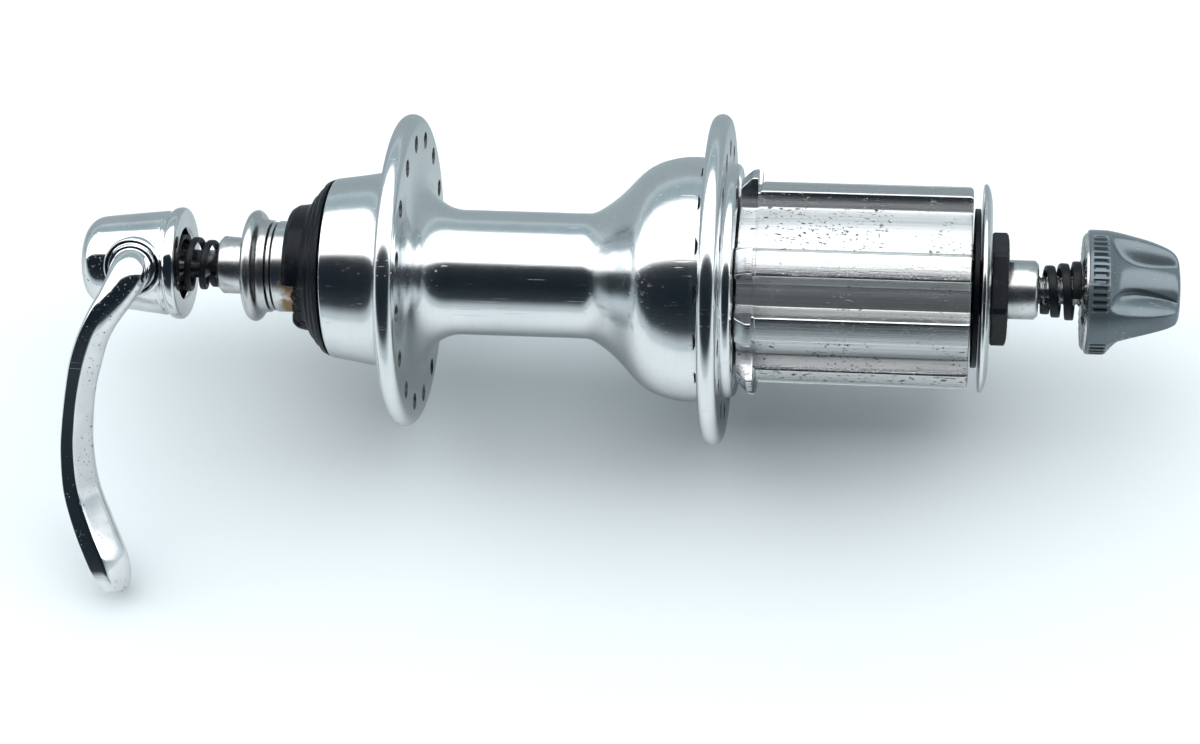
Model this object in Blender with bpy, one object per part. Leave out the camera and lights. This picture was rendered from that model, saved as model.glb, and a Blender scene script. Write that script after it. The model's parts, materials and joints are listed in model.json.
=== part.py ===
"""Rear bicycle hub with a splined freehub body and a quick-release skewer.

The hub axis is the X axis: the drive side is +X and the quick-release lever is at -X.
The origin lies on that axis, midway between the outer faces of the two locknuts.
Dimensions below are millimetres; the mesh helpers turn them into Blender's metres.
"""
import math

import bmesh
import bpy
from mathutils import Matrix, Vector

MM = 0.001
GAP = 0.3                       # clearance left between neighbouring pieces
ROUND = 32                      # sides of the hub shell and the boot
MEDIUM_ROUND = 20               # sides of cones, cups and covers
SMALL_ROUND = 16                # sides of the axle and the smallest pieces

# Axle and everything clamped on it
OVER_LOCKNUTS = 130.0
LOCKNUT_FACE = OVER_LOCKNUTS / 2
AXLE_R = 5.0
AXLE_BORE_R = 2.8
AXLE_END = LOCKNUT_FACE + 5.0   # how far each axle end reaches
THREAD_CLEAR_R = AXLE_R + GAP
HEX_ACROSS_FLATS = 17.0

# Quick-release skewer
ROD_R = 2.5
ROD_END = 88.4
PIVOT_X = -83.5                 # lever pivot, measured along the hub axis
LEVER_DROOP = math.radians(26.7)  # how far the closed lever hangs below the horizontal
CAM_THROW = 1.1                 # eccentricity of the cam
CAM_R = 3.0

# Bearings: quarter-inch balls under the two cones, eighth-inch balls in the freehub
BALL_R = 3.175
RACE_R = BALL_R + GAP
BALLS_PER_SIDE = 9
LEFT_BALL_X, LEFT_BALL_RING_R = -45.6, 10.0
RIGHT_BALL_X, RIGHT_BALL_RING_R = 54.0, 9.45
SMALL_BALL_R = 1.55
SMALL_BALLS = 25
SMALL_RING_R = 11.85
INNER_SMALL_BALL_X, OUTER_SMALL_BALL_X = 24.1, 45.2

# Hub shell
SHELL_LEFT, SHELL_RIGHT = -49.9, 19.7
BARREL_R = 10.7
LEFT_FLANGE = (-38.6, -35.2, 26.8)      # left face, right face, radius
RIGHT_FLANGE = (14.6, 17.8, 28.15)
SPOKE_HOLES = 16
SPOKE_HOLE_R = 1.4
SPOKE_CIRCLE_R = 22.5
LEFT_HOLE_PHASE = 38.6                  # degrees from +Y towards +Z
SHELL_TUNNEL_R = 7.0

# Freehub body with nine spline ridges, and the ratchet ring inside it
BODY_LEFT, BODY_RIGHT = 20.2, 58.7
RIDGES = 9
FIRST_RIDGE, RIDGE_PITCH = 100.0, 37.75   # leaves one wider gap, so that sprockets fit one way only
RIDGE_HALF_ANGLE = 7.25
RIDGE_TOP_R, GROOVE_R, STOP_R = 17.3, 14.7, 19.5
STOP_RIGHT = 23.0
TEETH = 24
TOOTH_TIP_R, TOOTH_ROOT_R = 11.8, 12.9
BODY_BORE_R, BODY_LIP_R = 13.6, 12.3
RATCHET_SPAN = (26.9, 36.3)
RATCHET_OUTER_R = BODY_BORE_R - GAP

# Pawls
PAWL_HEEL_ANGLES = (50.0, 230.0)
PAWL_SPAN = 38.0
PAWL_HEEL_R, PAWL_PIVOT_R = 1.2, 9.9
PAWL_LEFT, PAWL_RIGHT = 28.2, 35.0
TOOTH_FACE_ANGLE = PAWL_HEEL_ANGLES[0] + PAWL_SPAN + 1.5
SPRING_SLOT = (31.2, 32.8)


# ---------------------------------------------------------------- helpers

def clear_scene():
    """Remove every object, so that the script always starts from nothing."""
    for obj in list(bpy.data.objects):
        bpy.data.objects.remove(obj, do_unlink=True)


def material(name, colour, roughness, metallic):
    """A Principled material with one plain colour."""
    mat = bpy.data.materials.new(name)
    mat.use_nodes = True
    shader = mat.node_tree.nodes["Principled BSDF"]
    shader.inputs["Base Color"].default_value = (*colour, 1.0)
    shader.inputs["Roughness"].default_value = roughness
    shader.inputs["Metallic"].default_value = metallic
    return mat


def add_object(name, bm, mat, parent=None, cutter=False):
    """Put a finished bmesh into the scene as one named object."""
    bmesh.ops.recalc_face_normals(bm, faces=bm.faces)
    mesh = bpy.data.meshes.new(name)
    bm.to_mesh(mesh)
    bm.free()
    mesh.shade_smooth()
    mesh.set_sharp_from_angle(angle=math.radians(35))
    obj = bpy.data.objects.new(name, mesh)
    bpy.context.scene.collection.objects.link(obj)
    obj.parent = parent
    if cutter:
        obj.hide_render = True
        obj.display_type = "WIRE"
    else:
        mesh.materials.append(mat)
    return obj


def add_empty(name, location=(0, 0, 0), rotation=(0, 0, 0)):
    """An empty that carries pieces whose joint axis isn't through their own middle."""
    empty = bpy.data.objects.new(name, None)
    empty.location = [value * MM for value in location]
    empty.rotation_euler = rotation
    bpy.context.scene.collection.objects.link(empty)
    return empty


def boolean(obj, cutter, operation="DIFFERENCE"):
    """Combine obj with a hidden tool object, exactly."""
    modifier = obj.modifiers.new(cutter.name, "BOOLEAN")
    modifier.operation = operation
    modifier.solver = "EXACT"
    modifier.object = cutter


def polar(x, radius, degrees):
    """A point at a distance from the X axis, its angle measured from +Y towards +Z."""
    angle = math.radians(degrees)
    return Vector((x, radius * math.cos(angle), radius * math.sin(angle)))


def arc(centre_x, centre_r, radius, start, end, steps, squash=1.0):
    """Profile points on an arc; angles in degrees from +X towards larger radius."""
    points = []
    for step in range(steps + 1):
        angle = math.radians(start + (end - start) * step / steps)
        along = centre_x + radius * math.cos(angle)
        out = centre_r + radius * squash * math.sin(angle)
        points.append((along, out))
    return points


def turned(name, profile, mat, parent=None, segments=ROUND, cutter=False):
    """Spin a closed profile of (x, radius) points round the X axis."""
    bm = bmesh.new()
    verts = [bm.verts.new((x * MM, 0.0, r * MM)) for x, r in profile]
    edges = []
    for index, vert in enumerate(verts):
        following = verts[(index + 1) % len(verts)]
        on_axis = vert.co.z == 0 and following.co.z == 0
        if not on_axis:
            edges.append(bm.edges.new((vert, following)))
    bmesh.ops.spin(bm, geom=verts + edges, cent=(0, 0, 0), axis=(1, 0, 0),
                   angle=math.tau, steps=segments)
    bmesh.ops.remove_doubles(bm, verts=bm.verts, dist=1e-7)
    return add_object(name, bm, mat, parent, cutter)


def lofted(name, rings, mat, parent=None, capped=True, cutter=False):
    """Join rings of equally many points; the ends are capped or joined to each other."""
    bm = bmesh.new()
    loops = [[bm.verts.new(Vector(point) * MM) for point in ring] for ring in rings]
    pairs = list(zip(loops, loops[1:]))
    if not capped:
        pairs.append((loops[-1], loops[0]))
    for first, second in pairs:
        for index in range(len(first)):
            following = (index + 1) % len(first)
            bm.faces.new((first[index], first[following], second[following], second[index]))
    if capped:
        bm.faces.new(reversed(loops[0]))
        bm.faces.new(loops[-1])
    return add_object(name, bm, mat, parent, cutter)


def circle_ring(x, radius, angles):
    """A ring round the X axis, its radius a number or a function of the angle."""
    if callable(radius):
        return [polar(x, radius(angle), angle) for angle in angles]
    return [polar(x, radius, angle) for angle in angles]


def even_angles(count, phase=0.0):
    return [phase + 360.0 * index / count for index in range(count)]


def hexagon_radius(across_flats, phase):
    """Radius of a hexagon as a function of angle; phase is the direction of one flat."""
    def radius(degrees):
        off_flat = (degrees - phase + 30.0) % 60.0 - 30.0
        return across_flats / 2 / math.cos(math.radians(off_flat))
    return radius


# ---------------------------------------------------------------- materials

def make_materials():
    return {
        "polished_aluminium": material("polished_aluminium", (0.74, 0.75, 0.76), 0.22, 1.0),
        "spline_aluminium": material("spline_aluminium", (0.56, 0.58, 0.60), 0.42, 1.0),
        "bearing_steel": material("bearing_steel", (0.62, 0.62, 0.63), 0.18, 1.0),
        "plated_steel": material("plated_steel", (0.55, 0.56, 0.57), 0.32, 1.0),
        "chrome": material("chrome", (0.78, 0.78, 0.79), 0.10, 1.0),
        "black_steel": material("black_steel", (0.035, 0.036, 0.040), 0.38, 0.8),
        "black_rubber": material("black_rubber", (0.020, 0.021, 0.023), 0.62, 0.0),
        "grey_plastic": material("grey_plastic", (0.140, 0.180, 0.200), 0.45, 0.0),
    }


# ---------------------------------------------------------------- axle group

def make_axle(mats, parent):
    chamfer = 0.6
    profile = [
        (-AXLE_END, AXLE_BORE_R),
        (-AXLE_END, AXLE_R - chamfer),
        (-AXLE_END + chamfer, AXLE_R),
        (AXLE_END - chamfer, AXLE_R),
        (AXLE_END, AXLE_R - chamfer),
        (AXLE_END, AXLE_BORE_R),
    ]
    return turned("axle", profile, mats["plated_steel"], parent, SMALL_ROUND)


def make_left_hardware(mats, parent):
    """Locknut, keyed washer, cone and the rubber boot over the cone."""
    locknut = [
        (-LOCKNUT_FACE, THREAD_CLEAR_R),
        (-LOCKNUT_FACE, 8.7),
        (-64.6, 9.3),
        (-63.8, 9.65),
        (-63.1, 9.4),
        (-62.4, 8.5),
        (-61.7, 7.95),
        (-61.0, 7.9),
        (-61.0, THREAD_CLEAR_R),
    ]
    turned("left_locknut", locknut, mats["plated_steel"], parent, MEDIUM_ROUND)
    washer = [(-60.7, THREAD_CLEAR_R), (-60.7, 7.2), (-60.1, 7.2), (-60.1, THREAD_CLEAR_R)]
    turned("left_keyed_washer", washer, mats["plated_steel"], parent, SMALL_ROUND)
    race = arc(LEFT_BALL_X, LEFT_BALL_RING_R, RACE_R, 180, 280, 6)
    cone = [
        (-59.8, THREAD_CLEAR_R),
        (-59.8, 7.6),
        (-59.5, 7.85),
        (-51.6, 7.85),
        (-50.6, 9.4),
        *race,
        (-43.8, 6.4),
        (-43.8, THREAD_CLEAR_R),
    ]
    turned("left_cone", cone, mats["bearing_steel"], parent, MEDIUM_ROUND)
    boot = [
        (-57.5, 8.15),
        (-57.5, 9.7),
        (-56.1, 10.3),
        (-55.0, 11.7),
        (-53.9, 12.1),
        (-52.0, 14.1),
        (-50.2, 15.3),
        (-50.2, 13.9),
        (-54.8, 10.4),
        (-56.2, 8.15),
    ]
    turned("left_rubber_boot", boot, mats["black_rubber"], parent)


def make_right_hardware(mats, parent):
    """Cone, spacer, rubber seal, dust-cover disc and hexagonal locknut."""
    race = arc(RIGHT_BALL_X, RIGHT_BALL_RING_R, RACE_R, 260, 360, 6)
    cone = [
        (52.2, THREAD_CLEAR_R),
        (52.2, 5.9),
        *race,
        (58.4, 9.4),
        (58.9, 7.5),
        (58.9, THREAD_CLEAR_R),
    ]
    turned("right_cone", cone, mats["bearing_steel"], parent, MEDIUM_ROUND)
    spacer = [(59.2, THREAD_CLEAR_R), (59.2, 7.5), (60.1, 7.5), (60.1, THREAD_CLEAR_R)]
    turned("right_spacer", spacer, mats["plated_steel"], parent, SMALL_ROUND)
    seal = [(59.1, 7.8), (59.1, 13.2), (59.3, 13.45), (59.9, 13.45), (60.1, 13.2), (60.1, 7.8)]
    turned("right_rubber_seal", seal, mats["black_rubber"], parent)
    disc = [
        (60.4, THREAD_CLEAR_R),
        (60.4, 17.2),
        (60.7, 17.55),
        (61.1, 17.5),
        (61.9, 15.2),
        (61.9, THREAD_CLEAR_R),
    ]
    turned("end_disc", disc, mats["polished_aluminium"], parent)
    flat_direction = 43.0
    flats = hexagon_radius(HEX_ACROSS_FLATS, flat_direction)
    chamfered = lambda degrees: min(flats(degrees), 9.3)
    angles = even_angles(36, flat_direction)
    rings = [
        circle_ring(62.2, THREAD_CLEAR_R, angles),
        circle_ring(62.2, flats, angles),
        circle_ring(64.6, flats, angles),
        circle_ring(LOCKNUT_FACE, chamfered, angles),
        circle_ring(LOCKNUT_FACE, THREAD_CLEAR_R, angles),
    ]
    lofted("right_locknut", rings, mats["black_steel"], parent, capped=False)


# ---------------------------------------------------------------- hub shell group

def flange_rim(flange):
    """The rounded outer edge of a flange, from its left face to its right face."""
    left, right, radius = flange
    half = (right - left) / 2
    return arc((left + right) / 2, radius - half, half, 180, 0, 4)


def shell_profile():
    """Half section of the hub shell, outer side first from left to right."""
    left_face, left_inner, _ = LEFT_FLANGE
    right_inner, right_face, _ = RIGHT_FLANGE
    fillet_width, fillet_height = 7.7, 8.8
    fillet = arc(left_inner + fillet_width, BARREL_R + fillet_height, fillet_width,
                 180, 270, 4, fillet_height / fillet_width)
    bell_start, bell_end, bell_r, bell_steps = -5.8, 7.6, 20.8, 6
    bell = []
    for step in range(bell_steps + 1):
        share = step / bell_steps
        rise = share * share * (3 - 2 * share)
        bell.append((bell_start + (bell_end - bell_start) * share,
                     BARREL_R + (bell_r - BARREL_R) * rise))
    outside = [
        (SHELL_LEFT, 15.0),
        (SHELL_LEFT + 0.4, 15.4),
        (left_face - 0.9, 17.0),
        (left_face, 17.8),
        *flange_rim(LEFT_FLANGE),
        *fillet,
        *bell,
        (right_inner, 20.3),
        *flange_rim(RIGHT_FLANGE),
        (right_face, 20.4),
        (right_face + 0.4, 19.9),
        (SHELL_RIGHT - 0.4, 19.9),
        (SHELL_RIGHT, 19.4),
    ]
    inside = [
        (SHELL_RIGHT, 9.3),
        (12.0, 9.3),
        (12.0, SHELL_TUNNEL_R),
        (-36.0, SHELL_TUNNEL_R),
        (-40.4, 10.0),
        (-40.4, 14.4),
        (SHELL_LEFT, 14.4),
    ]
    return outside + inside


def make_spoke_cutter(name, flange, phase):
    """Sixteen drills through one flange, as one hidden tool."""
    left, right, _ = flange
    reach = 1.5
    bm = bmesh.new()
    for angle in even_angles(SPOKE_HOLES, phase):
        centre = polar((left + right) / 2, SPOKE_CIRCLE_R, angle) * MM
        place = Matrix.Translation(centre) @ Matrix.Rotation(math.pi / 2, 4, "Y")
        bmesh.ops.create_cone(bm, cap_ends=True, segments=6, radius1=SPOKE_HOLE_R * MM,
                              radius2=SPOKE_HOLE_R * MM, depth=(right - left + 2 * reach) * MM,
                              matrix=place)
    return add_object(name, bm, None, cutter=True)


def make_hub_shell(mats, parent):
    shell = turned("hub_shell", shell_profile(), mats["polished_aluminium"], parent)
    half_pitch = 180.0 / SPOKE_HOLES
    boolean(shell, make_spoke_cutter("left_spoke_drills", LEFT_FLANGE, LEFT_HOLE_PHASE))
    boolean(shell, make_spoke_cutter("right_spoke_drills", RIGHT_FLANGE,
                                     LEFT_HOLE_PHASE + half_pitch))
    return shell


def make_left_bearing_seat(mats, parent):
    """The pressed bearing cup and the dust cap outboard of it."""
    race = arc(LEFT_BALL_X, LEFT_BALL_RING_R, RACE_R, 0, 100, 6)
    cup = [(-48.3, 14.1), (-40.7, 14.1), (-40.7, 10.0), *race, (-48.3, 13.42)]
    turned("left_bearing_cup", cup, mats["bearing_steel"], parent, MEDIUM_ROUND)
    cap = [(-49.7, 10.4), (-49.7, 14.1), (-49.0, 14.1), (-49.0, 10.4)]
    turned("left_dust_cap", cap, mats["plated_steel"], parent, MEDIUM_ROUND)


def make_right_bearing_cup(mats, parent):
    race = arc(RIGHT_BALL_X, RIGHT_BALL_RING_R, RACE_R, 80, 180, 6)
    cup = [(49.6, 9.45), (49.6, 13.3), (58.2, 13.3), (58.2, 12.87), *race]
    turned("right_bearing_cup", cup, mats["bearing_steel"], parent, MEDIUM_ROUND)


def sector_prism(name, left, right, low_r, high_r, start, end, parent=None):
    """A hidden tool: part of a tube between two angles."""
    steps = 6
    angles = [start + (end - start) * step / steps for step in range(steps + 1)]
    rings = []
    for x in (left, right):
        inner = [polar(x, low_r, angle) for angle in angles]
        outer = [polar(x, high_r, angle) for angle in reversed(angles)]
        rings.append(inner + outer)
    return lofted(name, rings, None, parent, cutter=True)


def make_spring_groove_cutter(name, low_r):
    """A hidden ring-shaped tool for the groove that holds the pawl spring."""
    left, right = SPRING_SLOT
    outside = 12.6
    profile = [(left, low_r), (left, outside), (right, outside), (right, low_r)]
    return turned(name, profile, None, segments=MEDIUM_ROUND, cutter=True)


def make_freehub_core(mats, parent):
    """The pawl carrier that the hollow bolt clamps to the shell."""
    profile = [
        (12.4, 7.05),
        (12.4, 9.0),
        (20.0, 9.0),
        (20.0, 11.9),
        (21.4, 11.9),
        (22.0, 10.1),
        (26.2, 10.1),
        (26.8, 11.3),
        (36.6, 11.3),
        (37.2, 10.1),
        (47.4, 10.1),
        (47.9, 12.9),
        (49.3, 12.9),
        (49.3, 8.2),
        (36.0, 8.2),
        (36.0, 7.05),
    ]
    core = turned("freehub_core", profile, mats["plated_steel"], parent, MEDIUM_ROUND)
    for number, heel in enumerate(PAWL_HEEL_ANGLES, start=1):
        pocket = sector_prism(f"pawl_pocket_{number}", PAWL_LEFT - GAP, PAWL_RIGHT + GAP,
                              8.4, 13.0, heel - 9.0, heel + PAWL_SPAN + 1.5)
        boolean(core, pocket)
    boolean(core, make_spring_groove_cutter("core_spring_groove", 10.2))


def make_freehub_bolt(mats, parent):
    profile = [(2.0, 5.6), (2.0, 6.4), (2.4, 6.7), (36.3, 6.7), (36.3, 7.9), (41.6, 7.9),
               (42.0, 7.5), (42.0, 5.6)]
    turned("freehub_bolt", profile, mats["black_steel"], parent, SMALL_ROUND)


def make_pawl(number, heel, mats):
    """One pawl: a round heel at its hinge and a raised tip, on an empty at the hinge."""
    hinge = polar(0, PAWL_PIVOT_R, heel)
    holder = add_empty(f"pawl_hinge_{number}", hinge)
    outline = []
    for turn in (150.0, 190.0, 230.0, 270.0):
        angle = math.radians(heel + turn - 90.0)
        offset = Vector((0, math.cos(angle), math.sin(angle))) * PAWL_HEEL_R
        outline.append(hinge + offset)
    for share, radius in ((0.4, 8.9), (0.75, 9.1), (1.0, 9.5)):
        outline.append(polar(0, radius, heel + PAWL_SPAN * share))
    outline.append(polar(0, 11.5, heel + PAWL_SPAN))
    outline.append(polar(0, 11.45, heel + PAWL_SPAN - 5.0))
    for share, radius in ((0.76, 10.6), (0.5, 10.6), (0.2, 10.9)):
        outline.append(polar(0, radius, heel + PAWL_SPAN * share))
    outline.append(hinge * ((PAWL_PIVOT_R + PAWL_HEEL_R) / PAWL_PIVOT_R))
    rings = [[point - hinge + Vector((x, 0, 0)) for point in outline]
             for x in (PAWL_LEFT, PAWL_RIGHT)]
    pawl = lofted(f"pawl_{number}", rings, mats["black_steel"], holder)
    boolean(pawl, make_spring_groove_cutter(f"pawl_spring_slot_{number}", 9.65))


def make_pawl_spring(mats, parent):
    """The open wire ring that presses both pawls outwards."""
    wire_left, wire_right, low_r, high_r = 31.65, 32.35, 10.5, 11.1
    gap_angle, steps = 30.0, 24
    rings = []
    for step in range(steps + 1):
        angle = 140.0 + gap_angle / 2 + (360.0 - gap_angle) * step / steps
        rings.append([polar(wire_left, low_r, angle), polar(wire_right, low_r, angle),
                      polar(wire_right, high_r, angle), polar(wire_left, high_r, angle)])
    lofted("pawl_spring", rings, mats["bearing_steel"], parent)


# ---------------------------------------------------------------- balls

def make_ball_set(side, x, ring_r, mats, parent):
    for number, angle in enumerate(even_angles(BALLS_PER_SIDE), start=1):
        bm = bmesh.new()
        bmesh.ops.create_uvsphere(bm, u_segments=8, v_segments=5, radius=BALL_R * MM)
        ball = add_object(f"{side}_ball_{number}", bm, mats["bearing_steel"], parent)
        ball.location = polar(x, ring_r, angle) * MM


def make_small_ball_ring(name, x, mats, parent):
    """A full ring of small balls, joined where they touch."""
    neck = 0.5
    sides = 5
    rings = []
    for ball in range(SMALL_BALLS):
        for share, radius in ((0.0, neck), (0.5, SMALL_BALL_R)):
            angle = 360.0 * (ball + share) / SMALL_BALLS
            ring = []
            for side in range(sides):
                turn = math.tau * side / sides
                ring.append(polar(x + radius * math.cos(turn),
                                  SMALL_RING_R + radius * math.sin(turn), angle))
            rings.append(ring)
    lofted(name, rings, mats["bearing_steel"], parent, capped=False)


# ---------------------------------------------------------------- freehub body

def freehub_angles():
    """Eight angles for each ridge: four over its top, four along the groove after it."""
    top = RIDGE_HALF_ANGLE
    wall = 0.6
    angles = []
    for index in range(RIDGES):
        ridge = FIRST_RIDGE + RIDGE_PITCH * index
        last = index == RIDGES - 1
        gap = 360.0 - RIDGE_PITCH * (RIDGES - 1) if last else RIDGE_PITCH
        offsets = (-top, -top / 3, top / 3, top, top + wall, 0.4 * gap, 0.6 * gap, gap - top - wall)
        angles += [ridge + offset for offset in offsets]
    return angles


def ridge_radii(ridge_r, groove_r):
    """Radius at each of the freehub angles."""
    return ([ridge_r] * 4 + [groove_r] * 4) * RIDGES


def make_freehub_body(mats, parent):
    """The sleeve that the sprockets slide onto, with a plain bore."""
    angles = freehub_angles()
    undercut_r = GROOVE_R - 0.1

    def outer_ring(x, ridge_r, groove_r=GROOVE_R):
        radii = ridge_radii(ridge_r, groove_r)
        return [polar(x, radius, angle) for radius, angle in zip(radii, angles)]

    rings = [
        outer_ring(BODY_LEFT, STOP_R - 1.6, undercut_r),
        outer_ring(STOP_RIGHT - 1.1, STOP_R, undercut_r),
        outer_ring(STOP_RIGHT, STOP_R, undercut_r),
        outer_ring(STOP_RIGHT, RIDGE_TOP_R),
        outer_ring(BODY_RIGHT - 0.5, RIDGE_TOP_R),
        outer_ring(BODY_RIGHT, RIDGE_TOP_R - 0.5, GROOVE_R - 0.3),
        circle_ring(BODY_RIGHT, BODY_BORE_R, angles),
        circle_ring(22.0, BODY_BORE_R, angles),
        circle_ring(21.7, BODY_LIP_R, angles),
        circle_ring(BODY_LEFT, BODY_LIP_R, angles),
    ]
    lofted("freehub_body", rings, mats["spline_aluminium"], parent, capped=False)


def make_ratchet_ring(mats, parent):
    """The hardened ring of teeth inside the freehub body, three points to each tooth."""
    angles = []
    for face in even_angles(TEETH, TOOTH_FACE_ANGLE):
        angles += [face, face + 0.4, face + 2.0]
    left, right = RATCHET_SPAN
    rings = [
        circle_ring(left, RATCHET_OUTER_R, angles),
        circle_ring(right, RATCHET_OUTER_R, angles),
    ]
    for x in (right, left):
        radii = [TOOTH_ROOT_R, TOOTH_TIP_R, TOOTH_TIP_R] * TEETH
        rings.append([polar(x, radius, angle) for radius, angle in zip(radii, angles)])
    lofted("ratchet_ring", rings, mats["bearing_steel"], parent, capped=False)


# ---------------------------------------------------------------- skewer

def coil_spring(name, start_x, end_x, start_r, end_r, turns, wire, mats, parent):
    """A conical spring of flat wire, coiled round the X axis."""
    steps_per_turn = 14
    steps = int(turns * steps_per_turn)
    half_wide, half_thick = wire[0] / 2, wire[1] / 2
    rings = []
    for step in range(steps + 1):
        share = step / steps
        angle = 360.0 * turns * share
        x = start_x + (end_x - start_x) * share
        radius = start_r + (end_r - start_r) * share
        rings.append([polar(x - half_wide, radius - half_thick, angle),
                      polar(x + half_wide, radius - half_thick, angle),
                      polar(x + half_wide, radius + half_thick, angle),
                      polar(x - half_wide, radius + half_thick, angle)])
    lofted(name, rings, mats["black_steel"], parent)


def make_springs(mats, parent):
    coil_spring("left_spring", -71.0, -77.2, 3.35, 4.75, 3.2, (1.0, 0.7), mats, parent)
    coil_spring("right_spring", 71.0, 76.2, 3.35, 4.75, 2.6, (1.0, 0.7), mats, parent)


def make_skewer_rod(mats, parent, pivot):
    """The rod, with a flat eye at its left end that the cam turns in."""
    chamfer = 0.4
    eye_left, eye_right = -CAM_THROW - 4.7, 5.4
    profile = [
        (PIVOT_X + eye_right - 0.6, 0.0),
        (PIVOT_X + eye_right - 0.6, ROD_R),
        (ROD_END - chamfer, ROD_R),
        (ROD_END, ROD_R - chamfer),
        (ROD_END, 0.0),
    ]
    rod = turned("skewer_rod", profile, mats["plated_steel"], parent, 20)
    eye_half_width, eye_half_depth = 5.5, 2.0
    corners = [(-1, -1), (1, -1), (1, 1), (-1, 1)]
    block = [[(x, eye_half_width * side, eye_half_depth * level) for side, level in corners]
             for x in (eye_left, eye_right)]
    eye = lofted("rod_eye_block", block, None, pivot, cutter=True)
    slot_half_x = CAM_R + 0.6
    slot_half_y = CAM_R + CAM_THROW + GAP
    slot_rings = []
    for z in (-3.0, 3.0):
        ring = []
        for step in range(16):
            angle = math.tau * step / 16
            ring.append((-CAM_THROW + slot_half_x * math.cos(angle), slot_half_y * math.sin(angle), z))
        slot_rings.append(ring)
    slot = lofted("rod_eye_slot", slot_rings, None, pivot, cutter=True)
    boolean(rod, eye, "UNION")
    boolean(rod, slot)


def pivot_cylinder(name, radius, low, high, pivot):
    """A hidden drill along the lever's pivot axis."""
    rings = [[(radius * math.cos(math.tau * i / 20), radius * math.sin(math.tau * i / 20), z)
              for i in range(20)] for z in (low, high)]
    return lofted(name, rings, None, pivot, cutter=True)


def make_cam_housing(mats, pivot):
    """The housing that the cam pulls against, open towards the hub."""
    profile = [
        (-10.3, 0.0),
        (-10.3, 4.8),
        *arc(-7.5, 4.8, 2.8, 150, 100, 2),
        (-5.0, 8.0),
        (0.0, 8.6),
        (4.3, 9.1),
        (4.6, 8.8),
        (5.0, 8.8),
        (5.4, 9.5),
        (6.1, 9.7),
        (6.9, 9.6),
        (7.2, 9.3),
        (7.2, 6.1),
        (-6.6, 6.1),
        (-6.6, 0.0),
    ]
    housing = turned("cam_housing", profile, mats["chrome"], pivot, MEDIUM_ROUND)
    boolean(housing, pivot_cylinder("housing_top_drill", 4.55, 0.0, 14.0, pivot))
    boolean(housing, pivot_cylinder("housing_bottom_drill", 2.1, -14.0, 0.0, pivot))


def lever_sections():
    """Stations down the lever: x, reach, level on the pivot axis, half thickness, half width."""
    return [
        (-1.8, 1.4, 10.6, 1.9, 1.3),
        (-5.8, 6.0, 10.1, 2.5, 1.8),
        (-8.2, 12.0, 7.9, 2.6, 2.8),
        (-9.3, 19.0, 4.8, 2.25, 3.8),
        (-10.8, 30.0, 2.4, 2.5, 4.5),
        (-10.5, 36.0, 1.8, 2.75, 4.9),
        (-8.2, 45.0, 1.3, 3.15, 5.2),
        (-5.9, 52.0, 1.0, 3.4, 5.1),
        (-4.9, 56.0, 0.9, 2.9, 4.4),
        (-4.6, 58.4, 0.9, 1.3, 2.4),
    ]


def make_lever(mats, pivot):
    """The lever arm, joined to the cam shaft that it turns."""
    count = 20
    stations = [
        (12.2, 3.5, 0.0),
        (11.7, 4.25, 0.0),
        (2.3, 4.25, 0.0),
        (2.3, CAM_R, -CAM_THROW),
        (-2.3, CAM_R, -CAM_THROW),
        (-2.3, 1.8, 0.0),
        (-8.7, 1.8, 0.0),
    ]
    rings = []
    for z, radius, offset in stations:
        rings.append([(offset + radius * math.cos(math.tau * i / count),
                       radius * math.sin(math.tau * i / count), z) for i in range(count)])
    lever = lofted("lever", rings, mats["chrome"], pivot)

    arm_rings = []
    sections = lever_sections()
    for index, (x, reach, level, half_x, half_z) in enumerate(sections):
        before = sections[max(index - 1, 0)]
        after = sections[min(index + 1, len(sections) - 1)]
        along = Vector((after[0] - before[0], before[1] - after[1], 0)).normalized()
        across = Vector((-along.y, along.x, 0))
        centre = Vector((x, -reach, level))
        ring = []
        for step in range(12):
            angle = math.tau * step / 12
            ring.append(centre + across * half_x * math.cos(angle)
                        + Vector((0, 0, half_z * math.sin(angle))))
        arm_rings.append(ring)
    arm = lofted("lever_arm_block", arm_rings, None, pivot, cutter=True)
    boolean(lever, arm, "UNION")


def make_cam_nut(mats, pivot):
    """The cap nut that keeps the cam shaft in the housing."""
    count = 16
    rings = []
    for z, radius in ((-9.0, 3.3), (-10.6, 3.3), (-11.0, 2.9)):
        rings.append([(radius * math.cos(math.tau * i / count),
                       radius * math.sin(math.tau * i / count), z) for i in range(count)])
    lofted("cam_nut", rings, mats["chrome"], pivot)


def knob_radius(lobe, scoop):
    """Radius of the three-lobed knob, full at each lobe and hollowed between them."""
    def radius(degrees):
        share = 0.5 + 0.5 * math.cos(math.radians(3 * (degrees - 20.0)))
        return scoop + (lobe - scoop) * share
    return radius


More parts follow.
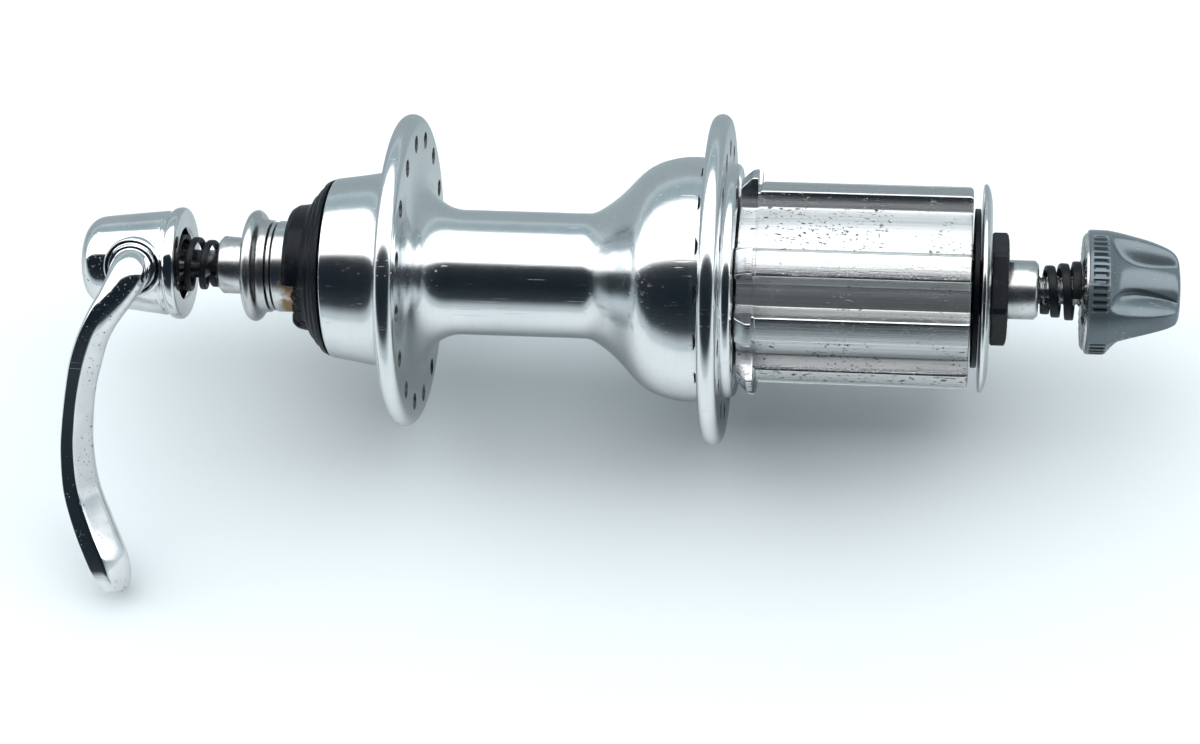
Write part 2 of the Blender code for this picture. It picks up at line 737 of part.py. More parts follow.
def make_adjusting_nut(mats, parent):
    """The serrated metal insert and the plastic knob moulded on it."""
    insert = [
        (77.2, 2.8),
        (77.2, 8.6),
        (77.5, 8.9),
        (78.3, 8.9),
        (78.3, 4.5),
        (89.0, 4.5),
        (89.0, 2.8),
    ]
    turned("nut_insert", insert, mats["plated_steel"], parent, SMALL_ROUND)
    angles = even_angles(24, 20.0)
    sections = [
        (77.6, 10.2, 10.2),
        (78.2, 10.4, 10.4),
        (80.8, 10.35, 10.3),
        (81.6, 10.1, 9.0),
        (83.5, 9.65, 7.7),
        (88.0, 8.8, 6.0),
        (91.0, 7.7, 5.1),
        (92.6, 5.8, 4.6),
        (93.2, 3.6, 3.4),
    ]
    rings = [circle_ring(x, knob_radius(lobe, scoop), angles) for x, lobe, scoop in sections]
    rings = [circle_ring(91.8, 3.0, angles), circle_ring(89.4, 4.8, angles),
             circle_ring(78.6, 4.8, angles), circle_ring(78.6, 9.2, angles),
             circle_ring(77.6, 9.2, angles)] + rings
    lofted("nut_knob", rings, mats["grey_plastic"], parent)


# ---------------------------------------------------------------- assembly

def main():
    clear_scene()
    mats = make_materials()
    hub_axis = add_empty("hub_axis")
    pivot = add_empty("lever_pivot", (PIVOT_X, 0, 0), (LEVER_DROOP, 0, 0))

    make_axle(mats, hub_axis)
    make_left_hardware(mats, hub_axis)
    make_right_hardware(mats, hub_axis)

    make_hub_shell(mats, hub_axis)
    make_left_bearing_seat(mats, hub_axis)
    make_right_bearing_cup(mats, hub_axis)
    make_freehub_core(mats, hub_axis)
    make_freehub_bolt(mats, hub_axis)
    for number, heel in enumerate(PAWL_HEEL_ANGLES, start=1):
        make_pawl(number, heel, mats)
    make_pawl_spring(mats, hub_axis)

    make_ball_set("left", LEFT_BALL_X, LEFT_BALL_RING_R, mats, hub_axis)
    make_ball_set("right", RIGHT_BALL_X, RIGHT_BALL_RING_R, mats, hub_axis)
    make_small_ball_ring("freehub_inner_balls", INNER_SMALL_BALL_X, mats, hub_axis)
    make_small_ball_ring("freehub_outer_balls", OUTER_SMALL_BALL_X, mats, hub_axis)
    make_freehub_body(mats, hub_axis)
    make_ratchet_ring(mats, hub_axis)

    make_springs(mats, hub_axis)
    make_skewer_rod(mats, hub_axis, pivot)
    make_cam_housing(mats, pivot)
    make_lever(mats, pivot)
    make_cam_nut(mats, pivot)
    make_adjusting_nut(mats, hub_axis)


main()
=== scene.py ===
import json
import math

import bmesh
import bpy
from mathutils import Matrix, Vector, noise


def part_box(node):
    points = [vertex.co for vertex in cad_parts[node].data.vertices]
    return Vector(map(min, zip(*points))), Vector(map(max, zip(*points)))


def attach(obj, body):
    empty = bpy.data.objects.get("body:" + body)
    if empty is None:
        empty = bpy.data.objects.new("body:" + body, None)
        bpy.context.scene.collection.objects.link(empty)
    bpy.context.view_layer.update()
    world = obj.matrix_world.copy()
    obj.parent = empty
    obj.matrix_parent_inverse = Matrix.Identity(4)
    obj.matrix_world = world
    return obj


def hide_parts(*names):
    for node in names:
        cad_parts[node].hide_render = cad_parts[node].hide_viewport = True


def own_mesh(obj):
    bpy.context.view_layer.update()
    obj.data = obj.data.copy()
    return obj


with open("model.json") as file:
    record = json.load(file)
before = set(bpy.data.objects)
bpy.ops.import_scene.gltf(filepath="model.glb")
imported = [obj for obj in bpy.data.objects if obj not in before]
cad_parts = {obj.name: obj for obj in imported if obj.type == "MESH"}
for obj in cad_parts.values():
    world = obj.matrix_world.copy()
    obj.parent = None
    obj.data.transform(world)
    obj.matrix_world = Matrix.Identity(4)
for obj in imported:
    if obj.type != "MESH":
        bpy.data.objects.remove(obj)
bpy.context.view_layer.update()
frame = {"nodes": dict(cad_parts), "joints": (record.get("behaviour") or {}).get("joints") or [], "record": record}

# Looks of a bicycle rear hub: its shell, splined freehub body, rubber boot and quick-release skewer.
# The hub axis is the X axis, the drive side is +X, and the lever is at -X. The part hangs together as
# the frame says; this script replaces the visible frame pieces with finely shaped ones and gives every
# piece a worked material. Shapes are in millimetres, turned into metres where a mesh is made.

MM = 0.001
FINE = 192                      # sides of a large turned piece
MEDIUM = 120                    # sides of a smaller turned piece


# ---------------------------------------------------------------- places taken from the frame

def span(node):
    """Lowest and highest corner of a frame node, in millimetres."""
    low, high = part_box(node)
    return low / MM, high / MM


SHELL_LOW, SHELL_HIGH = span("hub_shell")
AXLE_END = span("axle")[1].x
BODY_LOW, BODY_HIGH = span("freehub_body")
DISC_LOW, DISC_HIGH = span("end_disc")
NUT_LOW, NUT_HIGH = span("right_locknut")

PIVOT_X = span("cam_housing")[1].x - 7.2    # the lever's pivot lies this far behind the housing's mouth
FLOOR_Z = SHELL_LOW.z                   # the larger flange stands on the floor


PIVOT_AXIS = -Vector(next(row["axis"] for row in frame["joints"] if row["name"] == "lever_turn"))
PIVOT_TURN = Matrix.Translation((PIVOT_X * MM, 0, 0)) @ Matrix.Rotation(
    math.atan2(-PIVOT_AXIS.y, PIVOT_AXIS.z), 4, "X")


# ---------------------------------------------------------------- mesh helpers

def polar(x, radius, degrees):
    """A point at a distance from the X axis, its angle measured from +Y towards +Z."""
    angle = math.radians(degrees)
    return (x, radius * math.cos(angle), radius * math.sin(angle))


def circle(x, radius, sides):
    """A ring of points round the X axis."""
    return [polar(x, radius, 360.0 * side / sides) for side in range(sides)]


def arc(centre_x, centre_r, radius, start, end, steps, squash=1.0):
    """Profile points on an arc; angles in degrees from +X towards larger radius."""
    points = []
    for step in range(steps + 1):
        angle = math.radians(start + (end - start) * step / steps)
        points.append((centre_x + radius * math.cos(angle),
                       centre_r + radius * squash * math.sin(angle)))
    return points


def filleted(points, steps=5, closed=True):
    """Round the corners of an outline; a third value on a point is its rounding distance."""
    result = []
    count = len(points)
    for index, point in enumerate(points):
        size = point[2] if len(point) > 2 else 0.0
        corner = Vector(point[:2])
        inner = closed or 0 < index < count - 1
        if size <= 0 or not inner:
            result.append(tuple(corner))
            continue
        before = Vector(points[index - 1][:2]) - corner
        after = Vector(points[(index + 1) % count][:2]) - corner
        start = corner + before.normalized() * min(size, before.length * 0.48)
        end = corner + after.normalized() * min(size, after.length * 0.48)
        for step in range(steps + 1):
            share = step / steps
            blend = start * (1 - share) ** 2 + corner * 2 * share * (1 - share) + end * share ** 2
            result.append(tuple(blend))
    return result


def finish_mesh(name, verts, faces, mat, sharp=40.0):
    """Make a smooth-shaded object from points in millimetres."""
    mesh = bpy.data.meshes.new(name)
    mesh.from_pydata([tuple(value * MM for value in vert) for vert in verts], [], faces)
    bm = bmesh.new()
    bm.from_mesh(mesh)
    bmesh.ops.remove_doubles(bm, verts=bm.verts, dist=2e-7)
    bmesh.ops.recalc_face_normals(bm, faces=bm.faces)
    bm.to_mesh(mesh)
    bm.free()
    mesh.shade_smooth()
    mesh.set_sharp_from_angle(angle=math.radians(sharp))
    obj = bpy.data.objects.new(name, mesh)
    bpy.context.scene.collection.objects.link(obj)
    if mat:
        mesh.materials.append(mat)
    return obj


def loft(name, rings, mat, capped=True, sharp=40.0):
    """Join rings of equally many points; the ends are capped or joined to each other."""
    size = len(rings[0])
    verts = [point for ring in rings for point in ring]
    faces = []
    pairs = list(range(len(rings) - 1)) + ([] if capped else [len(rings) - 1])
    for first in pairs:
        second = (first + 1) % len(rings)
        for index in range(size):
            following = (index + 1) % size
            faces.append((first * size + index, first * size + following,
                          second * size + following, second * size + index))
    if capped:
        faces.append(tuple(reversed(range(size))))
        last = (len(rings) - 1) * size
        faces.append(tuple(range(last, last + size)))
    return finish_mesh(name, verts, faces, mat, sharp)


def turned(name, profile, mat, sides=MEDIUM, change=None, sharp=40.0):
    """Turn a closed profile round the X axis; change(x, radius, degrees) may alter a radius."""
    rings = []
    for x, radius in profile:
        ring = []
        for side in range(sides):
            degrees = 360.0 * side / sides
            here = change(x, radius, degrees) if change else radius
            ring.append(polar(x, here, degrees))
        rings.append(ring)
    return loft(name, rings, mat, capped=False, sharp=sharp)


def cut(obj, tools):
    """Take the tool objects away from obj, apply the result and remove the tools."""
    for tool in tools:
        modifier = obj.modifiers.new("cut", "BOOLEAN")
        modifier.operation = "DIFFERENCE"
        modifier.solver = "EXACT"
        modifier.material_mode = "TRANSFER"
        modifier.object = tool
    apply_modifiers(obj)
    for tool in tools:
        bpy.data.objects.remove(tool, do_unlink=True)


def apply_modifiers(obj):
    """Keep the evaluated mesh and drop the modifiers."""
    graph = bpy.context.evaluated_depsgraph_get()
    mesh = bpy.data.meshes.new_from_object(obj.evaluated_get(graph))
    obj.modifiers.clear()
    obj.data = mesh
    mesh.shade_smooth()
    mesh.set_sharp_from_angle(angle=math.radians(40))


def place(obj, body, slot, *nodes):
    """Ride on a body and stand for the frame nodes, which are hidden; the slot is not used."""
    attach(obj, body)
    if nodes:
        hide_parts(*nodes)
    return obj


def at_pivot(obj):
    """Move a piece that was shaped round the lever's pivot to its place."""
    obj.data.transform(PIVOT_TURN)
    return obj


def smoothstep(share):
    share = min(max(share, 0.0), 1.0)
    return share * share * (3 - 2 * share)


def curve_through(rows, steps):
    """Catmull-Rom curve through rows of equally many numbers."""
    result = []
    for index in range(len(rows) - 1):
        p0 = rows[max(index - 1, 0)]
        p1, p2 = rows[index], rows[index + 1]
        p3 = rows[min(index + 2, len(rows) - 1)]
        for step in range(steps):
            t = step / steps
            result.append(tuple(
                0.5 * (2 * b + (c - a) * t + (2 * a - 5 * b + 4 * c - d) * t ** 2
                       + (3 * b - a - 3 * c + d) * t ** 3)
                for a, b, c, d in zip(p0, p1, p2, p3)))
    result.append(tuple(rows[-1]))
    return result


# ---------------------------------------------------------------- material helpers

class Nodes:
    """A small writer for one material's node tree."""

    def __init__(self, name, colour, metallic, roughness):
        self.material = bpy.data.materials.new(name)
        self.material.use_nodes = True
        self.tree = self.material.node_tree
        self.shader = self.tree.nodes["Principled BSDF"]
        self.shader.inputs["Base Color"].default_value = (*colour, 1.0)
        self.shader.inputs["Metallic"].default_value = metallic
        self.shader.inputs["Roughness"].default_value = roughness
        self.place = self.add("ShaderNodeTexCoord").outputs["Object"]

    def add(self, kind, **settings):
        node = self.tree.nodes.new(kind)
        for key, value in settings.items():
            setattr(node, key, value)
        return node

    def link(self, source, target):
        self.tree.links.new(source, target)

    def mapped(self, scale, turn=(0, 0, 0)):
        """Object coordinates in metres, turned and then scaled."""
        mapping = self.add("ShaderNodeMapping")
        mapping.inputs["Rotation"].default_value = [math.radians(value) for value in turn]
        mapping.inputs["Scale"].default_value = scale
        self.link(self.place, mapping.inputs["Vector"])
        return mapping.outputs["Vector"]

    def around(self, along, around, out):
        """Coordinates along the X axis, round it and out from it, each scaled."""
        split = self.add("ShaderNodeSeparateXYZ")
        self.link(self.place, split.inputs[0])
        angle = self.math("ARCTAN2", split.outputs[2], split.outputs[1])
        square_y = self.math("MULTIPLY", split.outputs[1], split.outputs[1])
        square_z = self.math("MULTIPLY", split.outputs[2], split.outputs[2])
        radius = self.math("SQRT", self.math("ADD", square_y, square_z))
        joined = self.add("ShaderNodeCombineXYZ")
        self.link(self.math("MULTIPLY", split.outputs[0], along), joined.inputs[0])
        self.link(self.math("MULTIPLY", angle, around), joined.inputs[1])
        self.link(self.math("MULTIPLY", radius, out), joined.inputs[2])
        return joined.outputs[0]

    def math(self, operation, first, second=0.0):
        node = self.add("ShaderNodeMath", operation=operation)
        for socket, value in zip(node.inputs, (first, second)):
            if isinstance(value, (int, float)):
                socket.default_value = value
            else:
                self.link(value, socket)
        return node.outputs[0]

    def noise(self, vector, scale=1.0, detail=4.0, rough=0.55):
        node = self.add("ShaderNodeTexNoise")
        node.inputs["Scale"].default_value = scale
        node.inputs["Detail"].default_value = detail
        node.inputs["Roughness"].default_value = rough
        self.link(vector, node.inputs["Vector"])
        return node.outputs["Fac"]

    def flecks(self, scale, level, soft=0.03):
        """Small ragged marks: 1 inside a mark and 0 between marks."""
        return self.step(self.noise(self.mapped(scale), 1.0, 2.5, 0.6), level, level + soft)

    def step(self, value, low, high):
        """0 at low rising to 1 at high; the other way round where high is below low."""
        node = self.add("ShaderNodeMapRange")
        node.inputs["From Min"].default_value = low
        node.inputs["From Max"].default_value = high
        self.link(value, node.inputs["Value"])
        return node.outputs["Result"]

    def mix(self, share, low, high):
        node = self.add("ShaderNodeMix", data_type="RGBA")
        if isinstance(share, (int, float)):
            node.inputs["Factor"].default_value = share
        else:
            self.link(share, node.inputs["Factor"])
        for socket, value in ((node.inputs[6], low), (node.inputs[7], high)):
            if isinstance(value, tuple):
                socket.default_value = (*value, 1.0)
            else:
                self.link(value, socket)
        return node.outputs[2]

    def range(self, value, low, high):
        """Map 0..1 to low..high."""
        node = self.add("ShaderNodeMapRange")
        node.inputs["To Min"].default_value = low
        node.inputs["To Max"].default_value = high
        self.link(value, node.inputs["Value"])
        return node.outputs["Result"]

    def bump(self, height, depth_mm, strength=1.0):
        node = self.add("ShaderNodeBump")
        node.inputs["Strength"].default_value = strength
        node.inputs["Distance"].default_value = depth_mm * MM
        self.link(height, node.inputs["Height"])
        self.link(node.outputs["Normal"], self.shader.inputs["Normal"])

    def colour(self, source):
        self.link(source, self.shader.inputs["Base Color"])

    def roughness(self, source):
        self.link(source, self.shader.inputs["Roughness"])

    def scratches(self, length=60.0, width=2600.0, amount=0.70):
        """Thin straight marks in three directions: 1 on a mark."""
        total = None
        for turn in ((20, 35, 10), (-30, 15, 70), (55, -40, -25)):
            lines = self.noise(self.mapped((length, width, width * 0.9), turn), 1.0, 2.0, 0.5)
            marks = self.step(lines, amount, amount + 0.05)
            total = marks if total is None else self.math("MAXIMUM", total, marks)
        return total


def polished_aluminium():
    """The shell: bright, with a faint lathe grain, fine scratches, grime and small nicks."""
    n = Nodes("polished_aluminium", (0.83, 0.845, 0.85), 1.0, 0.2)
    grain = n.noise(n.around(4600, 1.2, 900), 1.0, 3.0)
    cloud = n.noise(n.mapped((70, 70, 70)), 1.0, 5.0, 0.62)
    scratch = n.scratches(70, 2400, 0.69)
    nicks = n.math("MULTIPLY", n.flecks((1500, 1700, 1700), 0.72), n.step(cloud, 0.52, 0.62))
    tone = n.mix(n.step(cloud, 0.30, 0.75), (0.70, 0.735, 0.75), (0.82, 0.84, 0.85))
    tone = n.mix(n.math("MULTIPLY", n.step(grain, 0.45, 0.75), 0.25), tone, (0.62, 0.65, 0.67))
    tone = n.mix(n.math("MULTIPLY", scratch, 0.35), tone, (0.50, 0.53, 0.55))
    n.colour(n.mix(n.math("MULTIPLY", nicks, 0.8), tone, (0.16, 0.16, 0.16)))
    rough = n.math("ADD", n.range(cloud, 0.11, 0.21), n.math("MULTIPLY", scratch, 0.12))
    n.roughness(rough)
    height = n.math("SUBTRACT", n.math("MULTIPLY", grain, 0.30), n.math("MULTIPLY", scratch, 0.5))
    n.bump(n.math("SUBTRACT", height, nicks), 0.014)
    return n.material


def spline_aluminium():
    """The freehub body: duller, streaked along its length, with dark specks and nicks."""
    n = Nodes("spline_aluminium", (0.70, 0.72, 0.73), 1.0, 0.28)
    streak = n.noise(n.around(14, 60, 300), 1.0, 5.0, 0.7)
    fine = n.noise(n.around(60, 420, 900), 1.0, 3.0, 0.6)
    cloud = n.noise(n.mapped((120, 90, 90)), 1.0, 5.0, 0.65)
    specks = n.math("MULTIPLY", n.flecks((1300, 2100, 2100), 0.60, 0.03), n.step(cloud, 0.45, 0.56))
    nicks = n.flecks((420, 1100, 1100), 0.70, 0.02)
    split = n.add("ShaderNodeSeparateXYZ")
    n.link(n.around(1.0, 1.0, 1.0), split.inputs[0])
    groove = n.step(split.outputs[2], 0.0168, 0.0158)
    crown = n.step(split.outputs[2], 0.0166, 0.0170)
    low_edge = n.math("MULTIPLY", n.step(split.outputs[1], 2.90, 3.0), crown)
    worn = n.math("MULTIPLY", n.flecks((700, 1500, 1500), 0.60, 0.02), low_edge)
    marks = n.math("MULTIPLY", n.math("MAXIMUM", specks, nicks), n.range(groove, 0.30, 1.0))
    marks = n.math("MAXIMUM", marks, worn)
    tone = n.mix(n.step(streak, 0.30, 0.72), (0.52, 0.545, 0.555), (0.80, 0.815, 0.82))
    tone = n.mix(n.math("MULTIPLY", n.step(fine, 0.50, 0.75), 0.55), tone, (0.40, 0.415, 0.425))
    n.colour(n.mix(n.math("MULTIPLY", marks, 0.9), tone, (0.05, 0.045, 0.045)))
    rough = n.math("ADD", n.range(streak, 0.15, 0.26), n.math("MULTIPLY", groove, 0.20))
    n.roughness(n.math("ADD", rough, n.math("MULTIPLY", marks, 0.3)))
    n.bump(n.math("SUBTRACT", n.math("MULTIPLY", fine, 0.5), marks), 0.025)
    return n.material


def chrome():
    """Bright chrome with pits, hairline scratches and a little haze."""
    n = Nodes("chrome", (0.80, 0.81, 0.82), 1.0, 0.06)
    cloud = n.noise(n.mapped((110, 110, 110)), 1.0, 5.0, 0.6)
    pits = n.math("MULTIPLY", n.flecks((1900, 1900, 1900), 0.655, 0.02), n.step(cloud, 0.50, 0.57))
    scratch = n.scratches(55, 2100, 0.72)
    tone = n.mix(n.step(cloud, 0.40, 0.75), (0.82, 0.835, 0.845), (0.62, 0.65, 0.67))
    tone = n.mix(n.math("MULTIPLY", scratch, 0.25), tone, (0.50, 0.52, 0.54))
    n.colour(n.mix(pits, tone, (0.07, 0.065, 0.06)))
    rough = n.math("ADD", n.range(cloud, 0.05, 0.14), n.math("MULTIPLY", pits, 0.35))
    n.roughness(n.math("ADD", rough, n.math("MULTIPLY", scratch, 0.10)))
    n.bump(n.math("SUBTRACT", n.math("MULTIPLY", scratch, -0.3), pits), 0.02)
    return n.material


def plated_steel(name="plated_steel", bright=(0.74, 0.75, 0.75), dull=(0.50, 0.51, 0.52)):
    """Turned and plated steel: rings of fine lathe marks and patches of grey haze."""
    n = Nodes(name, bright, 1.0, 0.24)
    rings = n.noise(n.around(4200, 0.8, 4200), 1.0, 3.0)
    cloud = n.noise(n.mapped((200, 200, 200)), 1.0, 5.0, 0.65)
    grime = n.flecks((1500, 1500, 1500), 0.70, 0.03)
    tone = n.mix(n.step(cloud, 0.35, 0.7), dull, bright)
    n.colour(n.mix(n.math("MULTIPLY", grime, 0.7), tone, (0.14, 0.13, 0.12)))
    n.roughness(n.range(cloud, 0.16, 0.36))
    n.bump(n.math("SUBTRACT", n.math("MULTIPLY", rings, 0.6), grime), 0.012)
    return n.material


def black_steel():
    """Black-oxide steel, rubbed a little paler in small patches."""
    n = Nodes("black_steel", (0.006, 0.008, 0.011), 0.0, 0.36)
    n.shader.inputs["Specular IOR Level"].default_value = 0.22
    cloud = n.noise(n.mapped((420, 420, 420)), 1.0, 6.0, 0.7)
    fine = n.noise(n.mapped((2600, 2600, 2600)), 1.0, 3.0)
    worn = n.step(cloud, 0.60, 0.72)
    tone = n.mix(n.step(fine, 0.3, 0.7), (0.003, 0.005, 0.008), (0.009, 0.012, 0.016))
    n.colour(n.mix(n.math("MULTIPLY", worn, 0.3), tone, (0.07, 0.08, 0.09)))
    n.roughness(n.range(cloud, 0.50, 0.28))
    n.bump(fine, 0.014)
    return n.material


def bearing_steel():
    """Ground bearing steel with a film of old grease."""
    n = Nodes("bearing_steel", (0.66, 0.66, 0.67), 1.0, 0.14)
    cloud = n.noise(n.mapped((240, 240, 240)), 1.0, 4.0)
    rings = n.noise(n.around(3000, 0.8, 3000), 1.0, 3.0)
    split = n.add("ShaderNodeSeparateXYZ")
    n.link(n.place, split.inputs[0])
    under_boot = n.math("MULTIPLY", n.step(split.outputs[0], -0.0590, -0.0578),
                        n.step(split.outputs[1], -0.0030, -0.0050))
    grease = n.math("MULTIPLY", under_boot, n.step(cloud, 0.40, 0.56))
    tone = n.mix(n.step(cloud, 0.45, 0.7), (0.66, 0.67, 0.68), (0.46, 0.45, 0.43))
    shade = n.mix(n.step(split.outputs[0], 0.0, -0.02), tone, n.mix(grease, tone, (0.30, 0.20, 0.11)))
    n.colour(shade)
    n.roughness(n.math("ADD", n.range(cloud, 0.10, 0.3), n.math("MULTIPLY", grease, 0.3)))
    n.bump(rings, 0.006)
    return n.material


def black_rubber():
    """Aged black rubber: glossy where it is smooth, with a little grey dust in its pores."""
    n = Nodes("black_rubber", (0.008, 0.010, 0.012), 0.0, 0.4)
    n.shader.inputs["Specular IOR Level"].default_value = 0.15
    pores = n.noise(n.mapped((1500, 1500, 1500)), 1.0, 5.0, 0.7)
    dust = n.noise(n.mapped((260, 260, 260)), 1.0, 5.0, 0.65)
    tone = n.mix(n.step(pores, 0.35, 0.65), (0.002, 0.004, 0.007), (0.006, 0.009, 0.013))
    n.colour(n.mix(n.math("MULTIPLY", n.step(dust, 0.60, 0.76), 0.3), tone, (0.035, 0.042, 0.048)))
    n.roughness(n.range(dust, 0.22, 0.42))
    n.bump(pores, 0.035)
    return n.material


def grey_plastic():
    """Moulded grey-blue plastic, scuffed pale on its high places."""
    n = Nodes("grey_plastic", (0.16, 0.20, 0.22), 0.5, 0.24)
    cloud = n.noise(n.mapped((180, 180, 180)), 1.0, 5.0, 0.65)
    fine = n.noise(n.mapped((2400, 2400, 2400)), 1.0, 3.0)
    scuff = n.math("MULTIPLY", n.scratches(90, 1700, 0.68), n.step(cloud, 0.45, 0.65))
    tone = n.mix(n.step(cloud, 0.3, 0.7), (0.125, 0.160, 0.182), (0.160, 0.200, 0.222))
    n.colour(n.mix(n.math("MULTIPLY", scuff, 0.45), tone, (0.38, 0.42, 0.44)))
    n.roughness(n.math("ADD", n.range(cloud, 0.17, 0.27), n.math("MULTIPLY", scuff, 0.15)))
    n.bump(n.math("ADD", fine, n.math("MULTIPLY", scuff, -0.8)), 0.010)
    return n.material


def painted_hole_shade():
    """Painted shade inside the spoke holes: a dark colour on the drilled walls stands in for the shade that falls
    in them.
    """
    n = Nodes("painted_hole_shade", (0.06, 0.06, 0.06), 0.6, 0.6)
    cloud = n.noise(n.mapped((900, 900, 900)), 1.0, 4.0)
    n.colour(n.mix(n.step(cloud, 0.4, 0.65), (0.035, 0.037, 0.04), (0.20, 0.21, 0.215)))
    n.bump(cloud, 0.02)
    return n.material


MATERIALS = {
    "polished_aluminium": polished_aluminium(),
    "spline_aluminium": spline_aluminium(),
    "chrome": chrome(),
    "plated_steel": plated_steel(),
    "black_steel": black_steel(),
    "bearing_steel": bearing_steel(),
    "black_rubber": black_rubber(),
    "grey_plastic": grey_plastic(),
    # dark painted shade for the walls of the spoke holes
    "painted_hole_shade": painted_hole_shade(),
}


def dress_frame_nodes():
    """Every frame node gets its slot's worked material, whether or not it stays visible."""
    slots = {entry["node"]: entry["material_slot"] for entry in frame["record"]["subparts"]}
    for name, obj in frame["nodes"].items():
        obj.data.materials.clear()
        obj.data.materials.append(MATERIALS[slots[name]])
        obj.data.shade_smooth()
        obj.data.set_sharp_from_angle(angle=math.radians(35))


# ---------------------------------------------------------------- hub shell

FLANGES = {
    "left": (-38.6, -35.2, SHELL_HIGH.z - 1.35, 38.6),
    "right": (14.6, 17.8, SHELL_HIGH.z, 49.85),
}
SPOKE_CIRCLE_R = 22.5
SPOKE_HOLES = 16
BARREL_R = 10.7


def shell_outline():
    """Half section of the shell, outer side from left to right and then its bores."""
    left, left_inner, left_r, _ = FLANGES["left"]
    right_inner, right, right_r, _ = FLANGES["right"]
    left_half, right_half = (left_inner - left) / 2, (right - right_inner) / 2
    bell = curve_through([(-12.0, BARREL_R), (-7.5, BARREL_R), (-4.7, 11.05), (-0.8, 13.8), (3.1, 17.75),
                          (5.5, 19.4), (8.0, 20.3), (10.5, 20.75), (12.5, 20.8)], 6)
    end = [(SHELL_LOW.x, 14.4), (SHELL_LOW.x, 15.4, 0.35), (-44.5, 16.2, 2.0), (left - 2.0, 16.9, 1.8),
           (left, 18.6, 1.3), (left, left_r - left_half - 0.2)]
    fillet_width, fillet_height = 7.7, 8.8
    fillet = arc(left_inner + fillet_width, BARREL_R + fillet_height, fillet_width,
                 182, 270, 20, fillet_height / fillet_width)
    outline = filleted(end, closed=False)
    outline += arc((left + left_inner) / 2, left_r - left_half, left_half, 176, 4, 16)
    outline += [(left_inner, left_r - left_half - 1.0), (left_inner, BARREL_R + fillet_height + 0.4)]
    outline += fillet + [(-20.0, BARREL_R)] + bell
    shoulder = [(12.5, 20.8), (13.2, 20.75), (right_inner, 20.5, 0.6),
                (right_inner, right_r - right_half - 0.2)]
    outline += filleted(shoulder, closed=False)[1:]
    outline += arc((right + right_inner) / 2, right_r - right_half, right_half, 176, 4, 16)
    boss = [(right, right_r - right_half - 0.2), (right, 20.6, 0.6), (right + 0.5, 19.95, 0.4),
            (SHELL_HIGH.x - 0.4, 19.8, 0.3), (SHELL_HIGH.x, 19.3), (SHELL_HIGH.x, 9.3), (12.0, 9.3),
            (12.0, 7.0), (-36.0, 7.0), (-40.4, 10.0), (-40.4, 14.4)]
    outline += filleted(boss, closed=False)
    return outline


def flange_damage(x, radius, degrees):
    """Small chips and dents knocked into the rim of the left flange."""
    left, left_inner, left_r, _ = FLANGES["left"]
    near_rim = left - 0.1 < x < left_inner + 0.1 and radius > left_r - 2.2
    if not near_rim:
        return radius
    drop = 0.0
    for centre, width, depth in ((281.0, 1.6, 0.34), (284.2, 1.2, 0.26), (277.6, 1.1, 0.22),
                                 (287.5, 0.9, 0.16), (96.0, 0.8, 0.08), (180.0, 0.9, 0.10)):
        off = (degrees - centre + 180) % 360 - 180
        drop += depth * math.exp(-(off / width) ** 2)
    rough_patch = math.exp(-((degrees - 282.0) / 5.0) ** 2)
    grit = noise.noise(Vector((x * 2.2, degrees * 1.3, radius * 2.2)))
    return radius - drop - 0.12 * rough_patch * max(grit, 0.0)


def countersunk_drill(x_low, x_high, hole_r, centre_deg):
    """A drill with a shallow countersink at both ends, as a closed mesh across a flange."""
    flare = 0.2
    stations = [(x_low - 1.0, hole_r + flare + 0.95), (x_low - 0.05, hole_r + flare),
                (x_low + flare, hole_r), (x_high - flare, hole_r),
                (x_high + 0.05, hole_r + flare), (x_high + 1.0, hole_r + flare + 0.95)]
    _, centre_y, centre_z = polar(0, SPOKE_CIRCLE_R, centre_deg)
    rings = []
    for x, radius in stations:
        rings.append([(x, centre_y + radius * math.cos(math.tau * i / 28),
                       centre_z + radius * math.sin(math.tau * i / 28)) for i in range(28)])
    # the cut passes the drill's dark material to the hole walls: painted shade inside each spoke hole
    return loft("drill", rings, MATERIALS["painted_hole_shade"])


def make_hub_shell():
    shell = turned("hub_shell_fine", shell_outline(), MATERIALS["polished_aluminium"], FINE,
                   flange_damage, sharp=50)
    for left, right, _, phase in FLANGES.values():
        tools = []
        for index in range(SPOKE_HOLES):
            tools.append(countersunk_drill(left, right, 1.35, phase + 360.0 * index / SPOKE_HOLES))
        cut(shell, tools)
    place(shell, "hub_shell", "polished_aluminium", "hub_shell")


# ---------------------------------------------------------------- freehub body

RIDGES = 9
FIRST_RIDGE, RIDGE_PITCH = 100.0, 37.75     # leaves one wider groove
RIDGE_HALF = 2.15               # half the width of a ridge at its top
RIDGE_FOOT = 2.9                # and at its foot
RIDGE_TOP_R = 17.3
GROOVE_R = 14.7
STOP_R = 19.5


